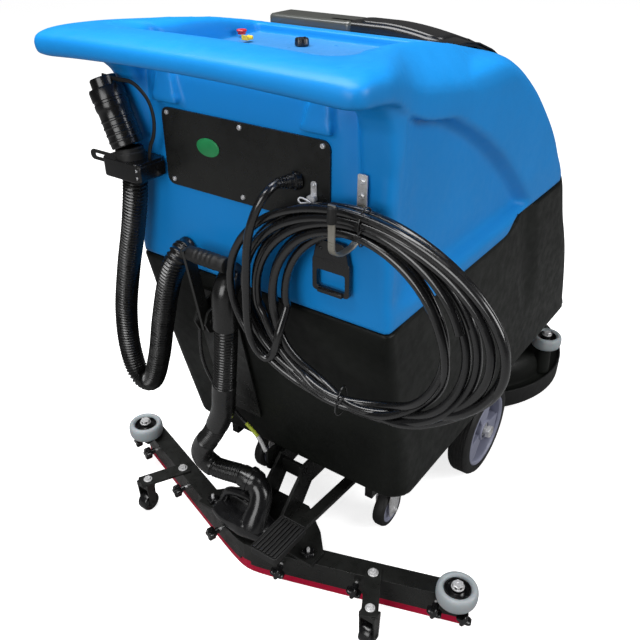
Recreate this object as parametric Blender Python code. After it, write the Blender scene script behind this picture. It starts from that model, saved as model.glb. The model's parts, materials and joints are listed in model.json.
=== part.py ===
"""A walk-behind, mains-cable floor scrubber-dryer: brush deck in front, V squeegee behind.

Metres. +X is the machine's right side, +Y the travel direction, +Z up. Every shape is drawn
with y = 0 at the axle of the main wheels; node() then slides it by ORIGIN_SHIFT, so that the
finished part has its origin on the floor under the middle of its length and width.
"""

import math

import bmesh
import bpy
from mathutils import Matrix, Vector

ORIGIN_SHIFT = Vector((0, -0.02625, 0))

# ---- tanks ----
TANK_BOTTOM = 0.190
SEAM_Z = 0.562
SEAM_GAP = 0.001
SEAM_STEP = 0.025
SEAM_STEP_FROM = -0.050
SEAM_STEP_TO = -0.005
BOTTOM_STEP = 0.022
BOTTOM_STEP_TO = 0.110
WALL = 0.005
# level, rear y, front y, half width, rear corner radius, front corner radius
LOWER_LEVELS = (
    (TANK_BOTTOM, -0.375, 0.512, 0.238, 0.090, 0.120),
    (0.388, -0.415, 0.447, 0.240, 0.060, 0.120),
    (0.540, -0.446, 0.360, 0.240, 0.038, 0.120),
    (SEAM_Z, -0.451, 0.343, 0.240, 0.035, 0.120),
)
UPPER_LEVELS = (
    (SEAM_Z + SEAM_GAP, -0.451, 0.343, 0.238, 0.035, 0.120),
    (0.640, -0.455, 0.294, 0.240, 0.035, 0.120),
    (0.695, -0.455, 0.238, 0.239, 0.035, 0.120),
    (0.777, -0.455, 0.110, 0.236, 0.035, 0.120),
    (0.820, -0.455, 0.040, 0.232, 0.035, 0.120),
    (0.854, -0.455, -0.030, 0.226, 0.035, 0.120),
    (0.872, -0.452, -0.085, 0.216, 0.035, 0.110),
    (0.880, -0.446, -0.130, 0.200, 0.030, 0.100),
)
REAR_FACE_Y = -0.455
CONSOLE_Z = 0.880

# ---- handle loop ----
HANDLE_SECTION = (0.066, 0.052)
HANDLE_BAR_Y = -0.540
HANDLE_BAR_Z = 0.898
HANDLE_SIDE_X = 0.222
HANDLE_CORNER = 0.060

# ---- wheels ----
WHEEL_RADIUS = 0.100
WHEEL_IN = 0.192
WHEEL_OUT = 0.237
TYRE_INNER = 0.080
AXLE_RADIUS = 0.009
CASTER_X = 0.148
CASTER_SWIVEL_Y = -0.225
CASTER_TRAIL = 0.030
CASTER_RADIUS = 0.0395
CASTER_WIDTH = 0.024

# ---- brush deck ----
DECK_Y = 0.371
DECK_RADIUS = 0.228
DECK_TOP = 0.118
SKIRT_RADIUS = 0.2545
BRUSH_RADIUS = 0.205
ROLLER_RADIUS = 0.035
ROLLER_HEIGHT = 0.030
BUMPER_X = 0.228
BUMPER_Y = 0.350
BUMPER_Z = 0.128
DECK_ARM_REAR_Y = 0.095
DECK_ARM_FRONT_Y = 0.200
DECK_ARM_Z = 0.150

# ---- squeegee ----
V_SLOPE = 0.34
V_APEX_Y = -0.504
V_ROUNDING = 0.008
V_HALF_WIDTH = 0.384
BAR_LOW = 0.030
BAR_TOP = 0.068
ARM_PIVOT_Y = -0.240
ARM_PIVOT_Z = 0.150
SIDE_ROLLER_X = 0.366
SIDE_ROLLER_Y = -0.400
SUPPORT_INNER = (0.226, -0.434)
SUPPORT_OUTER = (0.2595, -0.4975)
SUPPORT_WHEEL = (0.262, -0.502)
SUPPORT_RADIUS = 0.0195
MOUNT_KNOB_X = 0.1125
MOUNT_KNOB_Y = -0.467

# ---- pedal and lift lever ----
PEDAL_PIVOT_Y = -0.170
PEDAL_PIVOT_Z = 0.130
PEDAL_X = 0.095
LEVER_X = -0.085
LEVER_PIVOT_Y = -0.470
LEVER_PIVOT_Z = 0.490
GRIP_Y = -0.493
GRIP_Z = 0.617

# ---- cord ----
CORD_CENTRE = (0.205, -0.490, 0.597)
CORD_HALF_WIDE = 0.153
CORD_HALF_HIGH = 0.133
CORD_SIDE_BAND = 0.046
CORD_TOP_BAND = 0.025
CORD_DEPTH = 0.020
CORD_RADIUS = 0.005
HOOK_X = 0.196

HOSE_RADIUS = 0.019
FIT = 0.0005

# colour, roughness, metallic
LOOKS = {
    "blue": ((0.03, 0.27, 0.80), 0.38, 0.0),
    "black_tank": ((0.030, 0.030, 0.028), 0.55, 0.0),
    "steel_black": ((0.020, 0.020, 0.020), 0.45, 0.3),
    "rubber": ((0.015, 0.015, 0.015), 0.70, 0.0),
    "gloss_black": ((0.012, 0.012, 0.013), 0.25, 0.0),
    "charcoal": ((0.060, 0.060, 0.060), 0.25, 0.0),
    "zinc": ((0.62, 0.62, 0.62), 0.30, 1.0),
    "grey_roller": ((0.55, 0.58, 0.62), 0.50, 0.0),
    "hub_grey": ((0.38, 0.38, 0.50), 0.45, 0.0),
    "red": ((0.45, 0.01, 0.04), 0.45, 0.0),
    "panel": ((0.30, 0.38, 0.75), 0.40, 0.0),
    "white": ((0.85, 0.85, 0.85), 0.35, 0.0),
    "yellow": ((0.85, 0.65, 0.08), 0.40, 0.0),
    "copper_motor": ((0.30, 0.30, 0.32), 0.50, 0.6),
    "bristle": ((0.10, 0.16, 0.45), 0.80, 0.0),
}

PARTS = bpy.data.collections.new("floor_scrubber_dryer")


def clear_scene():
    for old in list(bpy.data.objects):
        bpy.data.objects.remove(old, do_unlink=True)
    bpy.context.scene.collection.children.link(PARTS)


# ---------------------------------------------------------------- shape helpers


def solid_from(bm):
    """An object from a bmesh whose faces are made to point outwards."""
    bmesh.ops.remove_doubles(bm, verts=bm.verts, dist=1e-6)
    bmesh.ops.recalc_face_normals(bm, faces=bm.faces)
    mesh = bpy.data.meshes.new("solid")
    bm.to_mesh(mesh)
    bm.free()
    solid = bpy.data.objects.new("solid", mesh)
    PARTS.objects.link(solid)
    return solid


def triangulate(solid):
    bm = bmesh.new()
    bm.from_mesh(solid.data)
    bmesh.ops.triangulate(bm, faces=bm.faces)
    bm.to_mesh(solid.data)
    bm.free()


def combine(target, other, operation):
    """Applies one Boolean to flat triangles and removes its cutter."""
    triangulate(target)
    triangulate(other)
    modifier = target.modifiers.new(operation.lower(), "BOOLEAN")
    modifier.operation = operation
    modifier.solver = "EXACT"
    modifier.object = other
    graph = bpy.context.evaluated_depsgraph_get()
    mesh = bpy.data.meshes.new_from_object(target.evaluated_get(graph))
    target.modifiers.remove(modifier)
    target.data = mesh
    bpy.data.objects.remove(other, do_unlink=True)
    return target


def union(target, *others):
    for other in others:
        combine(target, other, "UNION")
    return target


def cut(target, *others):
    for other in others:
        combine(target, other, "DIFFERENCE")
    return target


def box(x_range, y_range, z_range):
    bm = bmesh.new()
    bmesh.ops.create_cube(bm, size=1.0)
    low = Vector((x_range[0], y_range[0], z_range[0]))
    high = Vector((x_range[1], y_range[1], z_range[1]))
    size = high - low
    for vert in bm.verts:
        vert.co = Vector([low[i] + (vert.co[i] + 0.5) * size[i] for i in range(3)])
    return solid_from(bm)


def prism(outline, axis, low, high):
    """An outline pushed along an axis; its points are the two other coordinates in order."""
    def place(point, along):
        spots = {
            "x": (along, point[0], point[1]),
            "y": (point[0], along, point[1]),
            "z": (point[0], point[1], along),
        }
        return Vector(spots[axis])

    bm = bmesh.new()
    near = [bm.verts.new(place(point, low)) for point in outline]
    far = [bm.verts.new(place(point, high)) for point in outline]
    bm.faces.new(near)
    bm.faces.new(list(reversed(far)))
    for i in range(len(outline)):
        j = (i + 1) % len(outline)
        bm.faces.new((near[i], near[j], far[j], far[i]))
    return solid_from(bm)


def rounded(centre, width, height, radius, steps=4):
    """Outline of a rectangle with rounded corners."""
    points = []
    corners = ((1, 1, 0), (-1, 1, 90), (-1, -1, 180), (1, -1, 270))
    for sign_a, sign_b, start in corners:
        corner_a = centre[0] + sign_a * (width / 2 - radius)
        corner_b = centre[1] + sign_b * (height / 2 - radius)
        for step in range(steps + 1):
            angle = math.radians(start + 90 * step / steps)
            points.append((corner_a + radius * math.cos(angle), corner_b + radius * math.sin(angle)))
    return points


def turned(profile, centre, axis=(0, 0, 1), steps=24):
    """A body of revolution; the profile is (radius, height) points, closed if it misses the axis."""
    bm = bmesh.new()
    rings = []
    for radius, height in profile:
        if radius < 1e-9:
            rings.append([bm.verts.new((0, 0, height))])
            continue
        ring = []
        for step in range(steps):
            angle = 2 * math.pi * step / steps
            ring.append(bm.verts.new((radius * math.cos(angle), radius * math.sin(angle), height)))
        rings.append(ring)
    pairs = list(zip(rings, rings[1:]))
    if len(rings[0]) > 1 and len(rings[-1]) > 1:
        pairs.append((rings[-1], rings[0]))
    for first, second in pairs:
        for step in range(steps):
            after = (step + 1) % steps
            corners = [
                first[step % len(first)],
                first[after % len(first)],
                second[after % len(second)],
                second[step % len(second)],
            ]
            kept = [v for i, v in enumerate(corners) if v not in corners[:i]]
            if len(kept) > 2:
                bm.faces.new(kept)
    turn = Vector((0, 0, 1)).rotation_difference(Vector(axis)).to_matrix().to_4x4()
    bm.transform(Matrix.Translation(Vector(centre)) @ turn)
    return solid_from(bm)


def rod(start, end, radius, steps=12):
    start = Vector(start)
    along = Vector(end) - start
    profile = ((0, 0), (radius, 0), (radius, along.length), (0, along.length))
    return turned(profile, start, along.normalized(), steps)


def tube_section(radius, sides):
    return [
        (radius * math.cos(2 * math.pi * i / sides), radius * math.sin(2 * math.pi * i / sides))
        for i in range(sides)
    ]


def smooth_path(points, steps):
    """A Catmull-Rom curve through the points."""
    points = [Vector(point) for point in points]
    ends = [2 * points[0] - points[1]] + points + [2 * points[-1] - points[-2]]
    path = []
    for i in range(len(points) - 1):
        a, b, c, d = ends[i : i + 4]
        for step in range(steps):
            t = step / steps
            path.append(
                0.5
                * (
                    2 * b
                    + (c - a) * t
                    + (2 * a - 5 * b + 4 * c - d) * t * t
                    + (3 * b - 3 * c + d - a) * t**3
                )
            )
    path.append(points[-1])
    return path


def swept(path, section, up=None, closed=False):
    """A section carried along a path. With up given, the section's second axis stays along it."""
    path = [Vector(point) for point in path]
    count = len(path)
    bm = bmesh.new()
    rings = []
    side = None
    for i, point in enumerate(path):
        before = path[i - 1] if i or closed else point
        after = path[(i + 1) % count] if i + 1 < count or closed else point
        tangent = (after - before).normalized()
        if up is not None:
            side = tangent.cross(Vector(up)).normalized()
            second = Vector(up)
        else:
            if side is None:
                side = tangent.orthogonal().normalized()
            side = (side - tangent * side.dot(tangent)).normalized()
            second = tangent.cross(side)
        rings.append([bm.verts.new(point + side * a + second * b) for a, b in section])
    pairs = list(zip(rings, rings[1:]))
    if closed:
        pairs.append((rings[-1], rings[0]))
    else:
        bm.faces.new(rings[0])
        bm.faces.new(list(reversed(rings[-1])))
    for first, second in pairs:
        for i in range(len(section)):
            j = (i + 1) % len(section)
            bm.faces.new((first[i], first[j], second[j], second[i]))
    return solid_from(bm)


def hose(points, radius=HOSE_RADIUS, sides=8, steps=3):
    return swept(smooth_path(points, steps), tube_section(radius, sides))


# ---------------------------------------------------------------- finishing a node


def node(name, solid, look, pivot=(0, 0, 0), round_piece=False):
    """Names a solid, gives it its own material and puts its origin on its joint."""
    colour, roughness, metallic = LOOKS[look]
    material = bpy.data.materials.new(name + "_" + look)
    material.use_nodes = True
    shader = material.node_tree.nodes["Principled BSDF"]
    shader.inputs["Base Color"].default_value = (*colour, 1.0)
    shader.inputs["Roughness"].default_value = roughness
    shader.inputs["Metallic"].default_value = metallic
    material.diffuse_color = (*colour, 1.0)
    solid.name = name
    solid.data.name = name
    solid.data.materials.clear()
    solid.data.materials.append(material)
    solid.data.transform(Matrix.Translation(-Vector(pivot)))
    solid.location = Vector(pivot) + ORIGIN_SHIFT
    if round_piece:
        solid.data.shade_smooth()
    return solid


# ---------------------------------------------------------------- tanks


def ramp(y, low, high):
    return min(1.0, max(0.0, (y - low) / (high - low)))


def seam_lift(y):
    """How far the joint between the tanks is raised at this y: the step over the main wheels."""
    return SEAM_STEP * ramp(y, SEAM_STEP_FROM, SEAM_STEP_TO)


def bottom_lift(y):
    """How far the lower tank's floor is raised at this y, to clear the brush deck."""
    return BOTTOM_STEP * ramp(y, SEAM_STEP_TO, BOTTOM_STEP_TO)


def no_lift(y):
    return 0.0


def level_ring(level, inset, lift):
    """One level of a tank: its right half from rear to front, then the left half back again."""
    z, rear, front, half, rear_radius, front_radius = level
    rear += inset
    front -= inset * 1.6
    half -= inset
    rear_radius = max(0.010, rear_radius - inset)
    front_radius = max(0.010, front_radius - inset)
    right = []
    for step in range(4):
        angle = math.radians(-90 + 90 * step / 3)
        right.append(
            (
                half - rear_radius + rear_radius * math.cos(angle),
                rear + rear_radius + rear_radius * math.sin(angle),
            )
        )
    side_from = rear + rear_radius
    side_to = front - front_radius
    stops = (-0.25, SEAM_STEP_FROM, SEAM_STEP_TO, BOTTOM_STEP_TO)
    if side_from + 0.01 > stops[0] or side_to - 0.01 < stops[-1]:
        stops = [side_from + (side_to - side_from) * share for share in (0.2, 0.4, 0.6, 0.8)]
    for stop in stops:
        right.append((half, stop))
    for step in range(6):
        angle = math.radians(90 * step / 5)
        right.append(
            (
                half - front_radius + front_radius * math.cos(angle),
                front - front_radius + front_radius * math.sin(angle),
            )
        )
    left = [(-x, y) for x, y in reversed(right)]
    return [Vector((x, y, z + lift(y))) for x, y in right + left]


def loft(levels, inset, floor_lift, roof_lift, floor=None, roof=None):
    """A closed shell of level rings, its floor and roof made of strips across the machine."""
    bm = bmesh.new()
    rings = []
    last = len(levels) - 1
    for i, level in enumerate(levels):
        z = level[0]
        lift = no_lift
        if i == 0:
            z = floor if floor is not None else z + inset
            lift = floor_lift
        if i == last:
            z = roof if roof is not None else z - inset
            lift = roof_lift
        ring = level_ring((z, *level[1:]), inset, lift)
        rings.append([bm.verts.new(point) for point in ring])
    for first, second in zip(rings, rings[1:]):
        for i in range(len(first)):
            j = (i + 1) % len(first)
            bm.faces.new((first[i], first[j], second[j], second[i]))
    for ring in (rings[0], rings[-1]):
        count = len(ring)
        for i in range(count // 2 - 1):
            bm.faces.new((ring[i], ring[i + 1], ring[count - 2 - i], ring[count - 1 - i]))
    return solid_from(bm)


def rear_slope_y(z):
    """The rear face of the lower tank at this height."""
    share = (z - TANK_BOTTOM) / (SEAM_Z - TANK_BOTTOM)
    return -0.375 + share * (-0.451 + 0.375)


FILL_Z = 0.465
FILL_SLOPE = (LOWER_LEVELS[2][2] - LOWER_LEVELS[1][2]) / (LOWER_LEVELS[2][0] - LOWER_LEVELS[1][0])
FILL_Y = LOWER_LEVELS[1][2] + FILL_SLOPE * (FILL_Z - LOWER_LEVELS[1][0])
FILL_NORMAL = Vector((0, 1, -FILL_SLOPE)).normalized()


def solution_tank():
    tank = loft(LOWER_LEVELS, 0.0, bottom_lift, seam_lift)
    inner = loft(LOWER_LEVELS, WALL, no_lift, seam_lift, floor=0.219)
    # the dry pockets for the suction motor (from above) and the brush motor (from below)
    cut(inner, box((-0.090, 0.090), (-0.480, -0.250), (0.395, 0.700)))
    cut(inner, turned(((0, 0.20), (0.100, 0.20), (0.100, 0.342), (0, 0.342)), (0, DECK_Y, 0)))
    cut(tank, inner)
    cut(tank, box((-0.085, 0.085), (-0.405, -0.255), (0.400, 0.700)))
    cut(tank, turned(((0, 0.10), (0.095, 0.10), (0.095, 0.337), (0, 0.337)), (0, DECK_Y, 0)))
    for side in (-1, 1):
        arch = rod((side * 0.184, 0, WHEEL_RADIUS), (side * 0.300, 0, WHEEL_RADIUS), 0.107, 32)
        cut(tank, arch)
    hole_at = Vector((0, FILL_Y, FILL_Z))
    cut(tank, rod(hole_at - 0.03 * FILL_NORMAL, hole_at + 0.03 * FILL_NORMAL, 0.040, 24))
    node("solution_tank", tank, "black_tank")

    rim = ((0, 0), (0.048, 0), (0.048, 0.012), (0.040, 0.016), (0, 0.016))
    cap_at = hole_at + 0.001 * FILL_NORMAL
    cap = turned(rim, cap_at, FILL_NORMAL, 24)
    node("fill_cap", cap, "gloss_black", cap_at, round_piece=True)


def handle_path():
    """From the right shoulder back, round the grip bar and forward along the left shoulder."""
    right = [
        (0.205, -0.030, 0.815),
        (0.205, -0.141, 0.858),
        (0.205, -0.235, 0.880),
        (0.209, -0.350, 0.897),
        (HANDLE_SIDE_X, HANDLE_BAR_Y + HANDLE_CORNER, HANDLE_BAR_Z),
    ]
    for degrees in (22.5, 45, 67.5, 90):
        angle = math.radians(degrees)
        right.append(
            (
                HANDLE_SIDE_X - HANDLE_CORNER * (1 - math.cos(angle)),
                HANDLE_BAR_Y + HANDLE_CORNER * (1 - math.sin(angle)),
                HANDLE_BAR_Z,
            )
        )
    return right + [(-x, y, z) for x, y, z in reversed(right)]


def recovery_tank():
    tank = loft(UPPER_LEVELS, 0.0, seam_lift, no_lift)
    grip = rounded((0, 0), *HANDLE_SECTION, 0.020, 3)
    union(tank, swept(handle_path(), grip, up=(0, 0, 1)))
    for side in (-1, 1):
        # the gusset under the bar, then the web that carries the arm's underside into the body
        gusset = [(-0.440, 0.826), (-0.440, 0.880), (-0.515, 0.886), (-0.515, 0.8745)]
        edges = sorted((side * 0.120, side * 0.150))
        union(tank, prism(gusset, "x", *edges))
        web = [(-0.430, 0.790), (-0.430, 0.885), (-0.510, 0.885), (-0.510, 0.8735)]
        web += [(-0.475, 0.866), (-0.458, 0.850), (-0.4565, 0.800)]
        edges = sorted((side * 0.186, side * 0.236))
        union(tank, prism(web, "x", *edges))
    inner = loft(UPPER_LEVELS, WALL, seam_lift, no_lift)
    cut(inner, box((-0.130, 0.130), (-0.500, -0.365), (0.710, 0.810)))
    cut(tank, inner)
    cut(tank, box((-0.125, 0.125), (-0.500, -0.370), (0.715, 0.805)))
    cut(tank, box((-0.140, 0.140), (-0.165, 0.070), (0.760, 0.960)))
    node("recovery_tank", tank, "blue")


LID_PROFILE = (
    (-0.190, 0.880),
    (-0.130, 0.880),
    (-0.085, 0.8725),
    (-0.030, 0.8545),
    (0.040, 0.8205),
    (0.096, 0.7875),
)


def lid_slab(low, high, half):
    below = [(y, z + low) for y, z in LID_PROFILE]
    above = [(y, z + high) for y, z in LID_PROFILE]
    return prism(below + list(reversed(above)), "x", -half, half)


def lid():
    hinge = (0, LID_PROFILE[-1][0], LID_PROFILE[-1][1] + 0.007)
    node("tank_lid", lid_slab(0.0065, 0.0280, 0.165), "charcoal", hinge)
    seal = lid_slab(0.0015, 0.0058, 0.160)
    cut(seal, box((-0.148, 0.148), (-0.173, 0.078), (0.700, 0.950)))
    node("lid_seal", seal, "rubber", hinge)


def inside_the_tanks():
    motor = ((0, 0.402), (0.060, 0.402), (0.060, 0.440), (0.068, 0.445), (0.068, 0.490))
    motor += ((0.050, 0.495), (0.050, 0.535), (0, 0.535))
    node("suction_motor", turned(motor, (0, -0.330, 0)), "copper_motor", round_piece=True)
    control = box((-0.105, 0.105), (-0.440, -0.380), (0.722, 0.798))
    node("control_box", control, "steel_black")


# ---------------------------------------------------------------- rear face and console


def rear_face():
    cover = prism(rounded((0, 0.760), 0.294, 0.114, 0.012, 4), "y", -0.4585, REAR_FACE_Y - FIT)
    node("rear_cover", cover, "steel_black")

    frame = prism(rounded((0.154, 0.648), 0.062, 0.080, 0.010, 3), "y", -0.4660, -0.4570)
    window = prism(rounded((0.155, 0.624), 0.046, 0.020, 0.004, 2), "y", -0.4800, -0.4500)
    node("latch_handle", cut(frame, window), "gloss_black", (0.154, -0.4615, 0.684))

    elbow = smooth_path(
        ((0.095, -0.4592, 0.757), (0.095, -0.470, 0.757), (0.090, -0.477, 0.757), (0.081, -0.479, 0.757)),
        3,
    )
    node("cord_gland", swept(elbow, tube_section(0.008, 12)), "gloss_black", round_piece=True)


def console():
    plate = prism(rounded((-0.005, -0.320), 0.320, 0.200, 0.020, 4), "z", 0.8805, 0.8835)
    node("control_panel", plate, "panel")
    button = turned(((0, 0.8880), (0.009, 0.8880), (0.009, 0.8930), (0.007, 0.8945), (0, 0.8945)),
                    (-0.150, -0.272, 0), steps=16)
    node("power_button", button, "white", (-0.150, -0.272, 0.888), round_piece=True)
    rocker = box((-0.127, -0.103), (-0.309, -0.291), (0.8870, 0.8950))
    node("run_switch", rocker, "yellow", (-0.115, -0.300, 0.8900))
    knob = turned(((0, 0.8845), (0.012, 0.8845), (0.012, 0.8990), (0.010, 0.9005), (0, 0.9005)),
                  (-0.030, -0.277, 0), steps=18)
    node("water_knob", knob, "gloss_black", (-0.030, -0.277, 0.8845), round_piece=True)


def cord():
    strap_path = [(HOOK_X, -0.4575, 0.784), (HOOK_X, -0.4575, 0.712)]
    for degrees in (30, 60, 90):
        angle = math.radians(degrees)
        strap_path.append(
            (HOOK_X, -0.4725 + 0.015 * math.cos(angle), 0.712 - 0.015 * math.sin(angle))
        )
    for degrees in (0, 30, 60, 90):
        angle = math.radians(degrees)
        strap_path.append(
            (HOOK_X, -0.5105 - 0.015 * math.sin(angle), 0.712 - 0.015 * math.cos(angle))
        )
    strap_path.append((HOOK_X, -0.5255, 0.768))
    strap = swept(strap_path, rounded((0, 0), 0.003, 0.013, 0.001, 1), up=(1, 0, 0))
    union(strap, rod((HOOK_X, -0.5255, 0.745), (HOOK_X, -0.5255, 0.774), 0.0075, 10))
    node("cord_hook", strap, "zinc")

    x0, y0, z0 = CORD_CENTRE
    bm = bmesh.new()
    rings = []
    around = 28
    sides = 6
    for i in range(around):
        angle = 2 * math.pi * i / around
        c, s = math.cos(angle), math.sin(angle)
        band = CORD_TOP_BAND + (CORD_SIDE_BAND - CORD_TOP_BAND) * c * c
        outward = Vector((c / CORD_HALF_WIDE, 0, s / CORD_HALF_HIGH)).normalized()
        middle = Vector((x0 + CORD_HALF_WIDE * c, y0, z0 + CORD_HALF_HIGH * s))
        ring = []
        for k in range(sides):
            turn = 2 * math.pi * (k + 0.5) / sides
            spot = middle + outward * band * math.cos(turn)
            ring.append(bm.verts.new(spot + Vector((0, CORD_DEPTH * math.sin(turn), 0))))
        rings.append(ring)
    for first, second in zip(rings, rings[1:] + rings[:1]):
        for k in range(sides):
            m = (k + 1) % sides
            bm.faces.new((first[k], first[m], second[m], second[k]))
    bundle = solid_from(bm)
    lead = hose(
        (
            (0.0795, -0.480, 0.757),
            (0.050, -0.487, 0.748),
            (0.022, -0.490, 0.715),
            (0.012, -0.490, 0.670),
            (0.030, -0.490, 0.620),
        ),
        CORD_RADIUS,
        8,
        3,
    )
    node("power_cord", union(bundle, lead), "gloss_black", round_piece=True)


# ---------------------------------------------------------------- hoses and squeegee lift lever


def hoses():
    drain = hose(
        (
            (-0.190, -0.487, 0.7480),
            (-0.190, -0.487, 0.700),
            (-0.207, -0.487, 0.630),
            (-0.234, -0.487, 0.547),
            (-0.257, -0.487, 0.460),
            (-0.263, -0.487, 0.385),
            (-0.250, -0.487, 0.330),
            (-0.216, -0.487, 0.328),
            (-0.188, -0.487, 0.390),
            (-0.166, -0.487, 0.470),
            (-0.140, -0.487, 0.550),
            (-0.124, -0.480, 0.590),
            (-0.122, -0.466, 0.600),
            (-0.122, -0.4565, 0.600),
        )
    )
    node("drain_hose", drain, "rubber", round_piece=True)

    cap_axis = Vector((-0.40, 0, 1)).normalized()
    profile = ((0, 0), (0.022, 0), (0.022, 0.055), (0.025, 0.058), (0.025, 0.085))
    profile += ((0.019, 0.088), (0.019, 0.100), (0, 0.100))
    cap_at = Vector((-0.194, -0.487, 0.7585))
    node("drain_cap", turned(profile, cap_at, cap_axis, 20), "gloss_black", cap_at, round_piece=True)

    clip = box((-0.230, -0.152), (-0.512, REAR_FACE_Y - FIT), (0.698, 0.742))
    tab = box((-0.318, -0.220), (-0.4625, -0.4595), (0.710, 0.724))
    slot = box((-0.308, -0.268), (-0.4700, -0.4500), (0.7145, 0.7195))
    bore = swept(
        smooth_path(((-0.190, -0.487, 0.760), (-0.190, -0.487, 0.700), (-0.207, -0.487, 0.630)), 4),
        tube_section(HOSE_RADIUS + 0.0014, 12),
    )
    node("hose_clip", cut(union(clip, tab), slot, bore), "steel_black")

    suction = hose(
        (
            (-0.026, -0.4585, 0.583),
            (-0.026, -0.4660, 0.582),
            (-0.026, -0.4830, 0.560),
            (-0.026, -0.4840, 0.500),
            (-0.042, -0.4820, 0.430),
            (-0.068, -0.4780, 0.360),
            (-0.105, -0.4700, 0.285),
            (-0.136, -0.4640, 0.235),
        )
    )
    node("suction_hose", suction, "rubber", round_piece=True)


def lift_lever():
    pivot = (LEVER_X, LEVER_PIVOT_Y, LEVER_PIVOT_Z)
    lean = Vector((0, GRIP_Y - LEVER_PIVOT_Y, GRIP_Z - LEVER_PIVOT_Z))
    path = [Vector(pivot) - 0.12 * lean, Vector(pivot) + lean * 1.06]
    arm = swept(path, [(-0.010, -0.0025), (0.010, -0.0025), (0.010, 0.0025), (-0.010, 0.0025)],
                up=(1, 0, 0))
    bolt = rod((LEVER_X - 0.010, GRIP_Y, GRIP_Z), (LEVER_X, GRIP_Y, GRIP_Z), 0.007, 6)
    bore = rod((LEVER_X - 0.02, LEVER_PIVOT_Y, LEVER_PIVOT_Z), (LEVER_X + 0.02, LEVER_PIVOT_Y, LEVER_PIVOT_Z),
               0.0046, 12)
    node("lift_lever", cut(union(arm, bolt), bore), "steel_black", pivot)

    profile = ((0, 0), (0.010, 0), (0.013, 0.003), (0.011, 0.020), (0.0125, 0.045))
    profile += ((0.012, 0.066), (0.009, 0.074), (0, 0.075))
    grip = turned(profile, (LEVER_X + 0.0030, GRIP_Y, GRIP_Z), (1, 0, 0), 16)
    node("lever_grip", grip, "gloss_black", pivot, round_piece=True)

    skin = [(rear_slope_y(z) - 0.0008, z) for z in (0.530, 0.260)]
    skin += [(rear_slope_y(z) - 0.0048, z) for z in (0.260, 0.530)]
    plate = prism(skin, "x", -0.135, -0.045)
    cheek = [(rear_slope_y(z) - 0.003, z) for z in (0.455, 0.520)]
    cheek += [(-0.476, 0.508), (-0.484, 0.490), (-0.476, 0.472)]
    for low in (-0.098, -0.076):
        union(plate, prism(cheek, "x", low, low + 0.004))
    pin = rod((-0.100, LEVER_PIVOT_Y, LEVER_PIVOT_Z), (-0.070, LEVER_PIVOT_Y, LEVER_PIVOT_Z), 0.004, 12)
    node("lever_bracket", union(plate, pin), "steel_black")

    cable = hose(
        (
            (-0.120, -0.450, 0.462),
            (-0.126, -0.446, 0.390),
            (-0.116, -0.434, 0.330),
            (-0.080, -0.418, 0.270),
            (-0.040, -0.412, 0.232),
            (-0.022, -0.412, 0.205),
        ),
        0.003,
        8,
        3,
    )
    node("lift_cable", cable, "zinc", round_piece=True)


# ---------------------------------------------------------------- chassis, wheels, casters


def chassis():
    frame = box((-0.165, 0.165), (-0.345, 0.118), (0.178, 0.189))
    for side in (-1, 1):
        def span(low, high):
            return sorted((side * low, side * high))

        union(frame, box(span(0.150, 0.165), (-0.345, 0.118), (0.140, 0.180)))
        axle_plate = [(-0.040, 0.145), (-0.024, 0.080), (0.024, 0.080), (0.040, 0.145)]
        union(frame, prism(axle_plate, "x", *span(0.1495, 0.1655)))
        union(frame, box(span(0.120, 0.176), (-0.258, -0.192), (0.104, 0.112)))
        union(frame, box(span(0.138, 0.160), (-0.240, -0.210), (0.110, 0.150)))
        squeegee_cheek = [(-0.390, 0.180), (-0.390, 0.140), (-0.375, 0.126), (-0.225, 0.126), (-0.210, 0.180)]
        union(frame, prism(squeegee_cheek, "x", *span(0.036, 0.041)))
        deck_cheek = [(0.080, 0.180), (0.080, 0.138), (0.110, 0.138), (0.115, 0.180)]
        union(frame, prism(deck_cheek, "x", *span(0.128, 0.134)))
        union(frame, rod((side * 0.1185, DECK_ARM_REAR_Y, DECK_ARM_Z),
                         (side * 0.131, DECK_ARM_REAR_Y, DECK_ARM_Z), 0.004))
    union(frame, rod((-0.045, ARM_PIVOT_Y, ARM_PIVOT_Z), (0.045, ARM_PIVOT_Y, ARM_PIVOT_Z), 0.005))
    for low in (0.0760, 0.1100):
        pedal_cheek = [(-0.195, 0.180), (-0.185, 0.118), (-0.155, 0.118), (-0.145, 0.180)]
        union(frame, prism(pedal_cheek, "x", low, low + 0.004))
    union(frame, rod((0.074, PEDAL_PIVOT_Y, PEDAL_PIVOT_Z), (0.116, PEDAL_PIVOT_Y, PEDAL_PIVOT_Z), 0.004))
    cut(frame, rod((-0.3, 0, WHEEL_RADIUS), (0.3, 0, WHEEL_RADIUS), AXLE_RADIUS + FIT, 16))
    node("chassis_frame", frame, "steel_black")

    water = turned(((0, 0), (0.020, 0), (0.020, 0.070), (0.012, 0.074), (0, 0.074)),
                   (-0.100, -0.130, 0.153), (0, 1, 0), 16)
    node("water_filter", water, "white", round_piece=True)
    node("water_valve", box((-0.095, -0.050), (0.000, 0.045), (0.135, 0.172)), "steel_black")


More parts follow.
